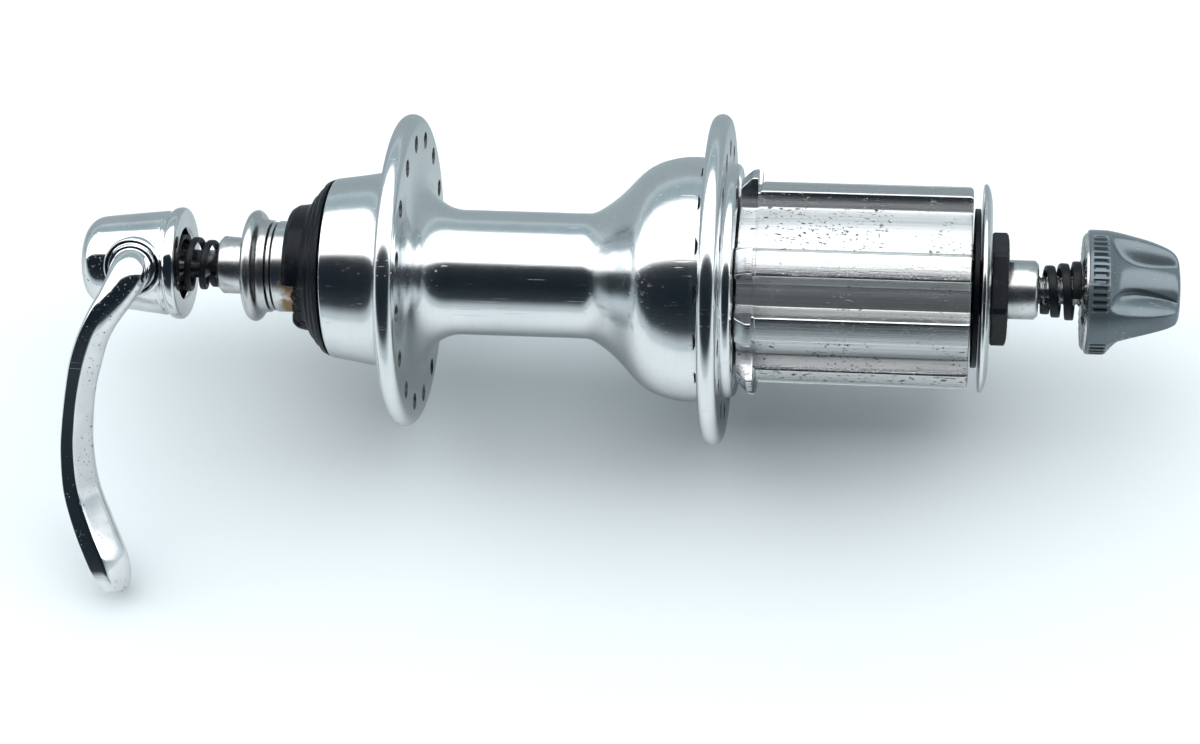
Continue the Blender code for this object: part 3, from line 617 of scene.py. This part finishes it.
def spline_section(x, top_r, floor_r, edge=0.28, root=0.35):
    """One cross-section of the freehub body: nine sloping-sided ridges over a round floor."""
    outline = []
    floor_half = math.degrees(math.asin(RIDGE_FOOT / floor_r))
    foot = math.sqrt(floor_r ** 2 - RIDGE_FOOT ** 2)
    crown = math.sqrt(top_r ** 2 - RIDGE_HALF ** 2)
    for ridge in range(RIDGES):
        centre = FIRST_RIDGE + RIDGE_PITCH * ridge
        gap = 360.0 - RIDGE_PITCH * (RIDGES - 1) if ridge == RIDGES - 1 else RIDGE_PITCH
        out = Vector(polar(0, 1.0, centre)[1:])
        side = Vector((-out.y, out.x))
        corners = [out * foot - side * RIDGE_FOOT, out * crown - side * RIDGE_HALF]
        for step in range(-3, 4):
            across = RIDGE_HALF * 0.8 * step / 3
            corners.append(out * math.sqrt(top_r ** 2 - across ** 2) + side * across)
        corners += [out * crown + side * RIDGE_HALF, out * foot + side * RIDGE_FOOT]
        for number, corner in enumerate(corners):
            rounding = {0: root, 1: edge, 9: edge, 10: root}.get(number, 0.0)
            outline.append((corner.x, corner.y, rounding))
        for step in range(1, 12):
            angle = centre + floor_half + (gap - 2 * floor_half) * step / 12
            _, y, z = polar(0, floor_r, angle)
            outline.append((y, z, 0.0))
    return [(x, y, z) for y, z in filleted(outline, 4)]


def make_freehub_body():
    stop_right = BODY_LOW.x + 2.8
    end = BODY_HIGH.x
    stations = [
        (BODY_LOW.x, 17.7, 14.5),
        (BODY_LOW.x + 0.5, 18.3, 14.5),
        (BODY_LOW.x + 1.5, 19.2, 14.5),
        (BODY_LOW.x + 1.8, STOP_R - 0.05, 14.5),
        (BODY_LOW.x + 2.1, STOP_R, 14.5),
        (stop_right - 0.25, STOP_R, 14.5),
        (stop_right - 0.06, STOP_R - 0.06, 14.5),
        (stop_right, STOP_R - 0.25, 14.52),
        (stop_right + 0.01, 16.95, 14.55),
        (stop_right + 0.35, 16.95, 14.62),
        (stop_right + 0.36, 17.15, 14.65),
        (stop_right + 0.55, RIDGE_TOP_R, GROOVE_R),
        (stop_right + 8.0, RIDGE_TOP_R, GROOVE_R),
        (end - 12.0, RIDGE_TOP_R, GROOVE_R),
        (end - 0.55, RIDGE_TOP_R, GROOVE_R),
        (end - 0.22, RIDGE_TOP_R - 0.10, GROOVE_R - 0.05),
        (end - 0.04, RIDGE_TOP_R - 0.32, GROOVE_R - 0.2),
        (end, RIDGE_TOP_R - 0.55, GROOVE_R - 0.4),
    ]
    rings = [spline_section(x, top, floor) for x, top, floor in stations]
    size = len(rings[0])
    bores = [(end, 13.75), (end - 0.15, 13.6), (36.5, 13.6), (36.5, 13.1), (26.9, 13.1),
             (26.9, 13.6), (22.0, 13.6), (21.7, 12.3), (BODY_LOW.x + 0.2, 12.3), (BODY_LOW.x, 12.5)]
    directions = [math.degrees(math.atan2(z, y)) for _, y, z in rings[0]]
    for x, radius in bores:
        rings.append([polar(x, radius, angle) for angle in directions])
    assert len(rings[-1]) == size
    body = loft("freehub_body_fine", rings, MATERIALS["spline_aluminium"], capped=False, sharp=30)
    place(body, "freehub", "spline_aluminium", "freehub_body")


# ---------------------------------------------------------------- axle and what is clamped on it

def thread_depth(x, degrees, pitch, depth):
    """Depth of a 60-degree thread groove at a place on a rod."""
    phase = (x / pitch - degrees / 360.0) % 1.0
    valley = abs(2 * phase - 1)
    return depth * min(max(valley * 1.25 - 0.12, 0.0), 1.0)


def threaded_rod(name, runs, radius, pitch, depth, bore, mat, sides=72):
    """A rod or tube along X, made of (start, end, threaded) runs with chamfered ends."""
    first, last = runs[0][0], runs[-1][1]
    bevel = 0.6
    stations = []
    for start, end, threaded in runs:
        step = pitch / 8 if threaded else (end - start)
        count = max(int(round((end - start) / step)), 1)
        stations += [(start + (end - start) * index / count, threaded) for index in range(count)]
    stations += [(last, runs[-1][2]), (first + bevel, runs[0][2]), (last - bevel, runs[-1][2])]
    rings = []
    for x, threaded in sorted(stations):
        inset = max(0.0, bevel - (x - first), bevel - (last - x))
        ring = []
        for side in range(sides):
            degrees = 360.0 * side / sides
            groove = thread_depth(x, degrees, pitch, depth) if threaded else 0.0
            ring.append(polar(x, radius - max(groove, inset), degrees))
        rings.append(ring)
    if bore:
        mouth = bore + 0.25
        for x, radius in ((last, mouth), (last - 0.25, bore), (first + 0.25, bore), (first, mouth)):
            rings.append(circle(x, radius, sides))
    return loft(name, rings, mat, capped=not bore, sharp=60)


def make_axle():
    """The hollow axle, smooth where it stands out of the locknuts and threaded between them."""
    runs = [(-AXLE_END, -64.0, False), (-64.0, -61.5, True), (-61.5, 61.5, False),
            (61.5, 64.0, True), (64.0, AXLE_END, False)]
    axle = threaded_rod("axle_fine", runs, 4.97, 1.0, 0.42, 2.8, MATERIALS["plated_steel"])
    place(axle, "axle", "plated_steel", "axle")


def make_left_hardware():
    """Locknut with a rounded rim and keyed washer in bright plated steel, and the cone in bearing steel."""
    bore = 5.3
    locknut = filleted([
        (-65.0, bore), (-65.0, 8.5, 0.3), (-64.55, 9.35, 0.5), (-63.7, 9.7, 0.6), (-62.95, 9.3, 0.5),
        (-62.35, 8.2, 0.5), (-61.6, 7.95, 0.3), (-61.0, 7.95, 0.15), (-61.0, bore)])
    place(turned("left_locknut_fine", locknut, MATERIALS["plated_steel"]), "axle",
          "plated_steel", "left_locknut")
    washer = filleted([(-60.7, bore), (-60.7, 7.65, 0.1), (-60.1, 7.65, 0.1), (-60.1, bore)])
    place(turned("left_keyed_washer_fine", washer, MATERIALS["plated_steel"]), "axle",
          "plated_steel", "left_keyed_washer")

    race = arc(-45.6, 10.0, 3.475, 180, 280, 16)
    cone = filleted([(-59.8, bore), (-59.8, 7.85, 0.3), (-51.6, 7.85, 0.3), (-50.6, 9.4, 0.3)])
    cone += race + [(-43.8, 6.4), (-43.8, bore)]
    place(turned("left_cone_fine", cone, MATERIALS["bearing_steel"]), "axle",
          "bearing_steel", "left_cone")


def make_right_hardware():
    """Rubber seal and polished disc; the black hexagonal locknut is made in make_hex_locknut."""
    bore = 5.3
    seal = filleted([(59.1, 7.8), (59.1, 13.4, 0.25), (60.1, 13.4, 0.25), (60.1, 7.8)])
    place(turned("right_rubber_seal_fine", seal, MATERIALS["black_rubber"]), "axle",
          "black_rubber", "right_rubber_seal")
    low, high = DISC_LOW.x, DISC_HIGH.x
    disc = filleted([
        (low, bore), (low, 17.0, 0.25), (low + 0.15, 17.5, 0.2), (low + 0.65, 17.55, 0.25),
        (low + 1.15, 16.6, 0.4), (high, 14.9, 0.3), (high, 10.6, 0.3), (high - 0.35, 10.2, 0.2),
        (high - 0.35, bore)])
    place(turned("end_disc_fine", disc, MATERIALS["polished_aluminium"], FINE), "axle",
          "polished_aluminium", "end_disc")


def make_hex_locknut():
    """Black hexagon with a chamfered rim and a serrated face towards the dropout."""
    sides, flats_at, across = 180, 43.0, 17.0
    low, high = NUT_LOW.x, NUT_HIGH.x
    teeth = 30

    def outer(x, inset, degrees):
        off = (degrees - flats_at + 30.0) % 60.0 - 30.0
        flat = across / 2 / math.cos(math.radians(off))
        corner = 9.55
        return min(flat, corner) - inset if inset < 0.5 else min(flat - 0.05, corner - inset)

    rows = [(low, 0.25), (low + 0.2, 0.04), (low + 0.35, 0.0), (high - 0.6, 0.0), (high - 0.4, 0.05),
            (high - 0.15, 0.55)]
    rings = [circle(low, 5.3, sides)]
    for x, inset in rows:
        rings.append([polar(x, outer(x, inset, 360.0 * i / sides), 360.0 * i / sides)
                      for i in range(sides)])
    for radius in (8.1, 6.3):
        ring = []
        for i in range(sides):
            degrees = 360.0 * i / sides
            ridge = abs((degrees * teeth / 360.0) % 1.0 * 2 - 1)
            ring.append(polar(high - 0.02 - 0.28 * ridge, radius, degrees))
        rings.append(ring)
    rings.append(circle(high - 0.15, 5.3, sides))
    nut = loft("right_locknut_fine", rings, MATERIALS["black_steel"], capped=False, sharp=25)
    place(nut, "axle", "black_steel", "right_locknut")


# ---------------------------------------------------------------- rubber boot

TEAR_START, TEAR_END = 128.0, 206.0     # where the boot is split, from +Y towards +Z


def tear_pull(x, degrees):
    """How far the torn lip of the boot is dragged back, largest at its outer edge."""
    inside = smoothstep((degrees - TEAR_START) / 1.6) * smoothstep((TEAR_END - degrees) / 30.0)
    ragged = 0.75 + 0.45 * noise.noise(Vector((degrees * 0.22, 3.1, 0.0)))
    ragged += 0.22 * noise.noise(Vector((degrees * 0.9, 7.7, 0.0)))
    reach = smoothstep((-53.6 - x) / 3.9)
    return 2.6 * inside * ragged * reach


def make_boot():
    """The stepped rubber boot, split at its front with its lower lip dragged back."""
    outside = [
        (-57.5, 8.2), (-57.5, 9.7, 0.5), (-56.7, 10.5, 0.5), (-53.5, 11.1, 0.3), (-53.15, 12.5, 0.35),
        (-52.5, 12.85, 0.15), (-52.2, 13.6, 0.3), (-51.5, 13.95, 0.15), (-51.2, 14.75, 0.3),
        (-50.2, 15.3, 0.2)]
    inside = [(-50.2, 14.1), (-52.4, 12.3), (-54.8, 10.5), (-56.2, 8.2)]
    sides = 360
    rings = []
    for x, radius in filleted(outside + inside, 4):
        ring = []
        for side in range(sides):
            degrees = 360.0 * side / sides
            pull = tear_pull(x, degrees)
            edge = math.exp(-((degrees - TEAR_START + 1.5) / 4.0) ** 2) * smoothstep((-54.0 - x) / 3.5)
            lump = 0.10 * noise.noise(Vector((x * 0.9, degrees * 0.06, 1.0)))
            crease = 0.16 * noise.noise(Vector((x * 1.4, degrees * 0.02, 9.0)))
            ring.append(polar(x + pull, radius + lump + crease + 0.30 * edge - 0.12 * pull, degrees))
        rings.append(ring)
    boot = loft("left_rubber_boot_fine", rings, MATERIALS["black_rubber"], capped=False, sharp=35)
    place(boot, "axle", "black_rubber", "left_rubber_boot")


# ---------------------------------------------------------------- skewer

def coil(name, start, end, turns, wire, mat, flat_ends=0.35, phase=0.0):
    """A conical spring of flattened wire; start and end are (x, radius)."""
    per_turn, section = 48, 16
    steps = int(turns * per_turn)
    rings = []
    for step in range(steps + 1):
        share = step / steps
        turn = turns * share
        eased = min(max((turn - flat_ends) / (turns - 2 * flat_ends), 0.0), 1.0)
        x = start[0] + (end[0] - start[0]) * (0.05 * share + 0.95 * eased)
        radius = start[1] + (end[1] - start[1]) * share ** 0.8
        ring = []
        for side in range(section):
            angle = math.tau * side / section
            wide = math.copysign(abs(math.cos(angle)) ** 0.55, math.cos(angle)) * wire[0] / 2
            thick = math.copysign(abs(math.sin(angle)) ** 0.55, math.sin(angle)) * wire[1] / 2
            ring.append(polar(x + wide, radius + thick, 360.0 * turn + phase))
        rings.append(ring)
    return loft(name, rings, mat, sharp=60)


def make_springs():
    black = MATERIALS["black_steel"]
    left = coil("left_spring_fine", (-71.0, 3.45), (-77.0, 4.75), 3.0, (1.15, 0.8), black, phase=150.0)
    place(left, "left_spring", "black_steel", "left_spring")
    right = coil("right_spring_fine", (71.2, 3.5), (76.3, 4.75), 2.9, (1.55, 0.85), black, phase=160.0)
    place(right, "right_spring", "black_steel", "right_spring")
    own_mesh(right)
    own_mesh(left)


def squarish(half_x, half_y, centre_x, z, power, count=96):
    """A level outline between an ellipse (power 1) and a rectangle (power near 0)."""
    ring = []
    for index in range(count):
        angle = math.tau * index / count
        c, s = math.cos(angle), math.sin(angle)
        ring.append((centre_x + half_x * math.copysign(abs(c) ** power, c),
                     half_y * math.copysign(abs(s) ** power, s), z))
    return ring


def make_rod():
    """Skewer rod: a thread at its right end and a flat eye round the cam at its left end."""
    runs = [(PIVOT_X + 4.6, 66.0, False), (66.0, span("skewer_rod")[1].x, True)]
    rod = threaded_rod("skewer_rod_fine", runs, 2.47, 0.8, 0.34, 0.0, MATERIALS["plated_steel"], 48)
    place(rod, "skewer", "plated_steel", "skewer_rod")
    rings = []
    for inset, z in ((0.3, -2.0), (0.0, -1.7), (0.0, 1.7), (0.3, 2.0)):
        rings.append(squarish(5.6 - inset, 5.5 - inset, -0.2, z, 0.35))
    for z in (2.0, -2.0):
        rings.append(squarish(3.6, 4.4, -1.1, z, 1.0))
    eye = loft("rod_eye", rings, MATERIALS["plated_steel"], capped=False)
    place(at_pivot(eye), "skewer", "plated_steel")


def round_section(z, radius, offset_x, count):
    return [(offset_x + radius * math.cos(math.tau * i / count),
             radius * math.sin(math.tau * i / count), z) for i in range(count)]


def make_housing():
    """Chrome cam housing: rounded closed end, groove and flared rim round an open mouth."""
    profile = [
        (-10.3, 0.0001), (-10.3, 5.3, 2.6), (-8.4, 7.6, 1.6), (-4.0, 8.15), (0.0, 8.6),
        (4.1, 9.05, 0.3), (4.35, 8.75, 0.2), (4.95, 8.8, 0.2), (5.25, 9.45, 0.4), (6.0, 9.7, 0.5),
        (6.8, 9.7, 0.35), (7.2, 9.3, 0.2), (7.2, 6.3, 0.25), (6.6, 6.05, 0.2), (-6.6, 6.05, 0.5),
        (-6.6, 0.0001)]
    housing = turned("cam_housing_fine", filleted(profile), MATERIALS["chrome"], FINE)
    top = loft("top_drill", [round_section(z, 4.5, 0.0, 64) for z in (0.0, 14.0)], None)
    bottom = loft("bottom_drill", [round_section(z, 2.1, 0.0, 48) for z in (-14.0, 0.0)], None)
    cut(housing, [top, bottom])
    place(at_pivot(housing), "cam_housing", "chrome", "cam_housing")
    collar_rows = [(8.35, 5.2), (8.75, 5.05), (8.9, 4.85), (8.8, 4.7), (8.78, 4.62), (8.4, 4.55),
                   (6.6, 4.55), (6.6, 5.2)]
    collar = loft("housing_collar", [round_section(z, radius, 0.0, 96) for z, radius in collar_rows],
                  MATERIALS["chrome"], capped=False, sharp=35)
    place(at_pivot(collar), "cam_housing", "chrome")


def lever_rows():
    """Down the lever: x, reach, level on the pivot axis, half thickness, half width, slope."""
    return [
        (0.0, 0.0, 7.6, 3.6, 3.6, 0.0),
        (0.0, 0.0, 8.8, 3.6, 3.5, 0.0),
        (-0.2, 0.9, 10.2, 3.6, 3.3, 0.0),
        (-0.9, 2.6, 11.3, 3.3, 2.9, 0.05),
        (-2.3, 5.2, 12.1, 2.9, 2.6, 0.15),
        (-4.4, 8.4, 12.1, 2.7, 2.5, 0.4),
        (-6.2, 11.8, 11.2, 2.6, 2.6, 0.8),
        (-7.8, 16.0, 9.7, 2.6, 3.0, 1.0),
        (-9.2, 21.0, 7.9, 2.4, 3.5, 1.0),
        (-10.2, 26.5, 6.2, 2.4, 3.9, 1.0),
        (-10.7, 32.0, 4.8, 2.5, 4.3, 1.0),
        (-10.3, 39.0, 3.4, 2.75, 4.7, 1.0),
        (-8.4, 46.0, 2.3, 3.05, 5.0, 1.0),
        (-6.3, 52.0, 1.7, 3.15, 4.9, 0.95),
        (-5.4, 55.0, 1.3, 2.8, 4.3, 0.9),
        (-4.9, 57.0, 1.1, 2.1, 3.4, 0.85),
        (-4.7, 58.1, 1.0, 1.3, 2.2, 0.8),
        (-4.65, 58.6, 1.0, 0.5, 0.9, 0.8),
    ]


def lever_section(half_x, half_z, slope):
    """Outline across the arm: a flat edge facing out between a narrow and a wide bevel."""
    squared = [
        (-1.00, 0.80, 0.2), (-0.88, 1.00, 0.08), (-0.02, 1.00, 0.12), (1.00, 0.08, 0.2),
        (1.00, -0.08, 0.2), (-0.02, -1.00, 0.12), (-0.88, -1.00, 0.08), (-1.00, -0.80, 0.2),
    ]
    corners = filleted([(x * half_x, z * half_z, size * half_x) for x, z, size in squared], 5)
    spread = []
    for index, (x, z) in enumerate(corners):
        next_x, next_z = corners[(index + 1) % len(corners)]
        pieces = 7 if index % 6 == 5 else 1
        spread += [(x + (next_x - x) * part / pieces, z + (next_z - z) * part / pieces)
                   for part in range(pieces)]
    blended = []
    for x, z in spread:
        angle = math.atan2(z / half_z, x / half_x)
        blended.append((x * slope + half_x * math.cos(angle) * (1 - slope),
                        z * slope + half_z * math.sin(angle) * (1 - slope)))
    return blended


def make_lever():
    """Chrome lever: a round stalk that bends out of the cam shaft into a bevelled arm."""
    rows = curve_through(lever_rows(), 8)
    rings = []
    for index, (x, reach, level, half_x, half_z, slope) in enumerate(rows):
        before, after = rows[max(index - 1, 0)], rows[min(index + 1, len(rows) - 1)]
        along = Vector((after[0] - before[0], before[1] - after[1], after[2] - before[2])).normalized()
        across = (Vector((1, 0, 0)) - along * along.x).normalized()
        up = along.cross(across)
        centre = Vector((x, -reach, level))
        rings.append([tuple(centre + across * a + up * b)
                      for a, b in lever_section(half_x, half_z, slope)])
    arm = loft("lever_arm", rings, MATERIALS["chrome"], sharp=50)
    boss_rows = [(9.6, 0.5), (9.65, 3.7), (9.55, 3.95), (9.3, 4.0), (9.05, 3.85), (9.0, 3.9), (9.15, 4.15),
                 (9.1, 4.28), (8.8, 4.32), (6.0, 4.28), (2.4, 4.2)]
    boss = loft("lever_boss", [round_section(z, radius, 0.0, 96) for z, radius in boss_rows],
                MATERIALS["chrome"], sharp=35)
    cam_rows = [(2.45, 3.0, -1.1), (-2.3, 3.0, -1.1), (-2.3, 1.8, 0.0), (-8.7, 1.8, 0.0)]
    cam = loft("cam_shaft", [round_section(z, radius, shift, 64) for z, radius, shift in cam_rows],
               MATERIALS["chrome"], sharp=35)
    place(at_pivot(arm), "lever", "chrome", "lever")
    place(at_pivot(boss), "lever", "chrome")
    place(at_pivot(cam), "lever", "chrome")
    nut_rows = [(-9.0, 3.1), (-9.1, 3.3), (-10.3, 3.3), (-10.75, 3.1), (-11.0, 2.6), (-11.05, 1.2)]
    nut = loft("cam_nut_fine", [round_section(z, radius, 0.0, 72) for z, radius in nut_rows],
               MATERIALS["chrome"], sharp=35)
    place(at_pivot(nut), "lever", "chrome", "cam_nut")


# ---------------------------------------------------------------- adjusting nut

LOBE_AT = 27.7                  # direction of one lobe, from +Y towards +Z
GRIP_SLOTS = 54


def knob_shape(crest, core, crest_half, edge_at, dip, off):
    """Radius at an angle from the nearest lobe: its crest, a scooped flank, then the round core."""
    if off <= crest_half:
        return crest
    if off >= edge_at:
        return core
    share = (off - crest_half) / (edge_at - crest_half)
    return crest + (core - crest) * smoothstep(share) - dip * math.sin(math.pi * share ** 1.3)


def grip_slot(x, degrees, off):
    """Depth of the short grip slots, which leave the middle of each lobe plain."""
    along = smoothstep((x - 78.6) / 0.25) * smoothstep((81.1 - x) / 0.25)
    spread = smoothstep((off - 18.0) / 1.5)
    place_in_pitch = abs((degrees * GRIP_SLOTS / 360.0) % 1.0 - 0.5) * 2
    return 0.65 * along * spread * smoothstep((place_in_pitch - 0.40) / 0.2)


def make_knob():
    """Grey plastic knob: slotted skirt, then three lobes with scoops running to the tip."""
    sides = GRIP_SLOTS * 12
    table = [
        (77.95, 10.15, 10.15, 19.0, 30.0, 0.0),
        (78.05, 10.32, 10.32, 19.0, 30.0, 0.0),
        (78.25, 10.42, 10.42, 19.0, 30.0, 0.0),
        (78.6, 10.45, 10.45, 19.0, 30.0, 0.0),
        (81.0, 10.40, 10.40, 19.0, 30.0, 0.0),
        (81.6, 10.32, 10.0, 17.5, 31.0, 0.15),
        (82.4, 10.20, 9.1, 16.0, 36.0, 0.55),
        (83.6, 9.95, 8.1, 14.0, 41.0, 1.0),
        (85.7, 9.45, 7.15, 12.0, 44.0, 1.35),
        (88.0, 8.85, 6.5, 10.5, 42.0, 1.35),
        (90.0, 8.15, 6.0, 10.0, 37.0, 1.1),
        (91.6, 7.4, 5.6, 10.0, 31.0, 0.8),
        (92.5, 6.6, 5.3, 10.0, 27.0, 0.5),
        (92.95, 5.7, 4.9, 10.0, 25.0, 0.3),
        (93.2, 4.4, 4.2, 10.0, 24.0, 0.1),
    ]
    rows = curve_through(table, 6)
    rings = []
    for x, radius in ((91.95, 0.3), (91.95, 3.0), (89.5, 4.8), (78.6, 4.8), (78.6, 9.2), (77.95, 9.2)):
        rings.append(circle(x, radius, sides))
    for x, crest, core, crest_half, edge_at, dip in rows:
        ring = []
        for side in range(sides):
            degrees = 360.0 * side / sides
            off = abs((degrees - LOBE_AT + 60.0) % 120.0 - 60.0)
            radius = knob_shape(crest, core, crest_half, edge_at, dip, off)
            ring.append(polar(x, radius - grip_slot(x, degrees, off), degrees))
        rings.append(ring)
    rings.append(circle(93.2, 1.5, sides))
    knob = loft("nut_knob_fine", rings, MATERIALS["grey_plastic"], sharp=35)
    place(knob, "nut", "grey_plastic", "nut_knob")


def make_insert():
    """Serrated metal face of the adjusting nut."""
    sides, teeth = 216, 36
    rings = []
    for x, radius, serration in ((77.3, 2.8, 0.0), (77.25, 4.2, 0.0), (77.25, 5.6, 1.0), (77.2, 9.2, 1.0),
                                 (77.6, 9.8, 0.0), (77.97, 9.8, 0.0), (77.97, 8.9, 0.0),
                                 (78.3, 8.9, 0.0), (78.3, 4.5, 0.0), (89.0, 4.5, 0.0),
                                 (89.0, 2.8, 0.0)):
        ring = []
        for side in range(sides):
            degrees = 360.0 * side / sides
            ridge = abs((degrees * teeth / 360.0) % 1.0 * 2 - 1)
            ring.append(polar(x + 0.3 * ridge * serration, radius, degrees))
        rings.append(ring)
    insert = loft("nut_insert_fine", rings, MATERIALS["plated_steel"], capped=False, sharp=25)
    place(insert, "nut", "plated_steel", "nut_insert")


# ---------------------------------------------------------------- bearings

def make_balls():
    """True round balls in place of the frame's plain ones."""
    for side, body in (("left", "left_balls"), ("right", "right_balls")):
        for number in range(1, 10):
            node = f"{side}_ball_{number}"
            low, high = span(node)
            centre = (low + high) / 2
            bm = bmesh.new()
            bmesh.ops.create_icosphere(bm, subdivisions=4, radius=3.15 * MM,
                                       matrix=Matrix.Translation(centre * MM))
            mesh = bpy.data.meshes.new(f"{node}_fine")
            bm.to_mesh(mesh)
            bm.free()
            mesh.shade_smooth()
            mesh.materials.append(MATERIALS["bearing_steel"])
            ball = bpy.data.objects.new(f"{node}_fine", mesh)
            bpy.context.scene.collection.objects.link(ball)
            place(ball, body, "bearing_steel", node)


# ---------------------------------------------------------------- stage, light and camera

def floor_sheet(name, z, material):
    size = 1.6
    mesh = bpy.data.meshes.new(name)
    mesh.from_pydata([(-size, -size, z), (size, -size, z), (size, size, z), (-size, size, z)], [],
                     [(0, 1, 2, 3)])
    mesh.materials.append(material)
    sheet = bpy.data.objects.new(name, mesh)
    bpy.context.scene.collection.objects.link(sheet)
    return sheet


def make_floor():
    """A pale floor, and a greyer sheet in its place that only polished metal sees; that sheet's colour is a
    painted reflection, darker behind the hub and paler towards the viewer.
    """
    level = FLOOR_Z * MM
    n = Nodes("white_floor", (0.83, 0.915, 0.95), 0.0, 0.6)
    n.shader.inputs["Emission Color"].default_value = (0.95, 1.0, 1.0, 1.0)
    n.shader.inputs["Emission Strength"].default_value = 0.07
    floor = floor_sheet("floor", level - 0.0002, n.material)
    floor.visible_glossy = False
    n = Nodes("floor_in_reflections", (0.4, 0.4, 0.4), 0.0, 0.9)
    split = n.add("ShaderNodeSeparateXYZ")
    n.link(n.place, split.inputs[0])
    # painted reflection: the sheet is darker behind the hub and paler in front, so the metal reflects a shaded
    # floor behind and a bright one in front
    front = n.step(split.outputs[1], 0.045, -0.03)
    n.colour(n.mix(front, (0.30, 0.355, 0.375), (0.80, 0.86, 0.875)))
    seen = floor_sheet("floor_in_reflections", level - 0.0001, n.material)
    seen.visible_camera = False
    seen.visible_diffuse = False
    seen.visible_shadow = False


def make_world():
    """A bright panel overhead and behind, a dark room towards the viewer, a pale horizon."""
    world = bpy.data.worlds.new("studio")
    bpy.context.scene.world = world
    world.use_nodes = True
    tree = world.node_tree
    background = tree.nodes["Background"]

    def node(kind, operation=None, **values):
        made = tree.nodes.new(kind)
        if operation:
            made.operation = operation
        for name, value in values.items():
            made.inputs[name.replace("_", " ")].default_value = value
        return made

    direction = node("ShaderNodeTexCoord")
    split = node("ShaderNodeSeparateXYZ")
    tree.links.new(direction.outputs["Generated"], split.inputs[0])
    minus = node("ShaderNodeMath", "MULTIPLY")
    minus.inputs[1].default_value = -1.0
    tree.links.new(split.outputs[1], minus.inputs[0])
    angle = node("ShaderNodeMath", "ARCTAN2")
    tree.links.new(minus.outputs[0], angle.inputs[0])
    tree.links.new(split.outputs[2], angle.inputs[1])
    share = node("ShaderNodeMapRange", From_Min=-math.pi, From_Max=math.pi)
    tree.links.new(angle.outputs[0], share.inputs["Value"])
    ramp = tree.nodes.new("ShaderNodeValToRGB")
    tree.links.new(share.outputs["Result"], ramp.inputs["Fac"])
    panel = (1.0, 1.0, 1.0)
    stops = [
        (-92.0, (0.150, 0.190, 0.205)),
        (-62.0, (0.160, 0.200, 0.215)),
        (-56.0, panel),
        (0.0, panel),
        (4.0, (0.004, 0.007, 0.010)),
        (45.0, (0.005, 0.008, 0.011)),
        (71.0, (0.014, 0.018, 0.022)),
        (83.0, (0.20, 0.225, 0.235)),
        (94.0, (0.36, 0.39, 0.40)),
    ]
    elements = ramp.color_ramp.elements
    while len(elements) > 1:
        elements.remove(elements[-1])
    for index, (degrees, colour) in enumerate(stops):
        position = (degrees + 180.0) / 360.0
        element = elements[0] if index == 0 else elements.new(position)
        element.position = position
        element.color = (*colour, 1.0)
    horizon = node("ShaderNodeMapRange", From_Min=0.03, From_Max=0.20)
    tree.links.new(split.outputs[2], horizon.inputs["Value"])
    mixed = tree.nodes.new("ShaderNodeMix")
    mixed.data_type = "RGBA"
    mixed.inputs[6].default_value = (0.235, 0.27, 0.285, 1.0)
    tree.links.new(horizon.outputs["Result"], mixed.inputs["Factor"])
    tree.links.new(ramp.outputs["Color"], mixed.inputs[7])
    tree.links.new(mixed.outputs[2], background.inputs["Color"])
    background.inputs["Strength"].default_value = 2.5
    bpy.context.scene.view_settings.view_transform = "Standard"


def make_camera():
    """The view from high in front, over the drive side."""
    elevation, distance, foot = 70.0, 489.0, 51.5
    yaw, pitch, roll = 6.42, 1.9, 1.82
    e, y, p, r = (math.radians(value) for value in (elevation, yaw, pitch, roll))
    forward = Vector((0, math.cos(e), -math.sin(e)))
    right = Vector((1, 0, 0))
    up = Vector((0, math.sin(e), math.cos(e)))
    position = Vector((foot, 0, 0)) - forward * distance
    forward, right = (forward * math.cos(y) - right * math.sin(y),
                      right * math.cos(y) + forward * math.sin(y))
    forward, up = (forward * math.cos(p) - up * math.sin(p),
                   up * math.cos(p) + forward * math.sin(p))
    right, up = (right * math.cos(r) + up * math.sin(r),
                 up * math.cos(r) - right * math.sin(r))
    data = bpy.data.cameras.new("camera")
    data.lens = 86.4
    data.sensor_width = 36.0
    data.clip_start = 0.01
    data.clip_end = 20.0
    camera = bpy.data.objects.new("camera", data)
    turn = Matrix((right, up, -forward)).transposed().to_4x4()
    camera.matrix_world = Matrix.Translation(position * MM) @ turn
    bpy.context.scene.collection.objects.link(camera)
    bpy.context.scene.camera = camera


# ---------------------------------------------------------------- everything

dress_frame_nodes()
make_camera()
make_world()
make_floor()
make_hub_shell()
make_freehub_body()
make_axle()
make_left_hardware()
make_right_hardware()
make_hex_locknut()
make_boot()
make_springs()
make_rod()
make_housing()
make_lever()
make_knob()
make_insert()
make_balls()
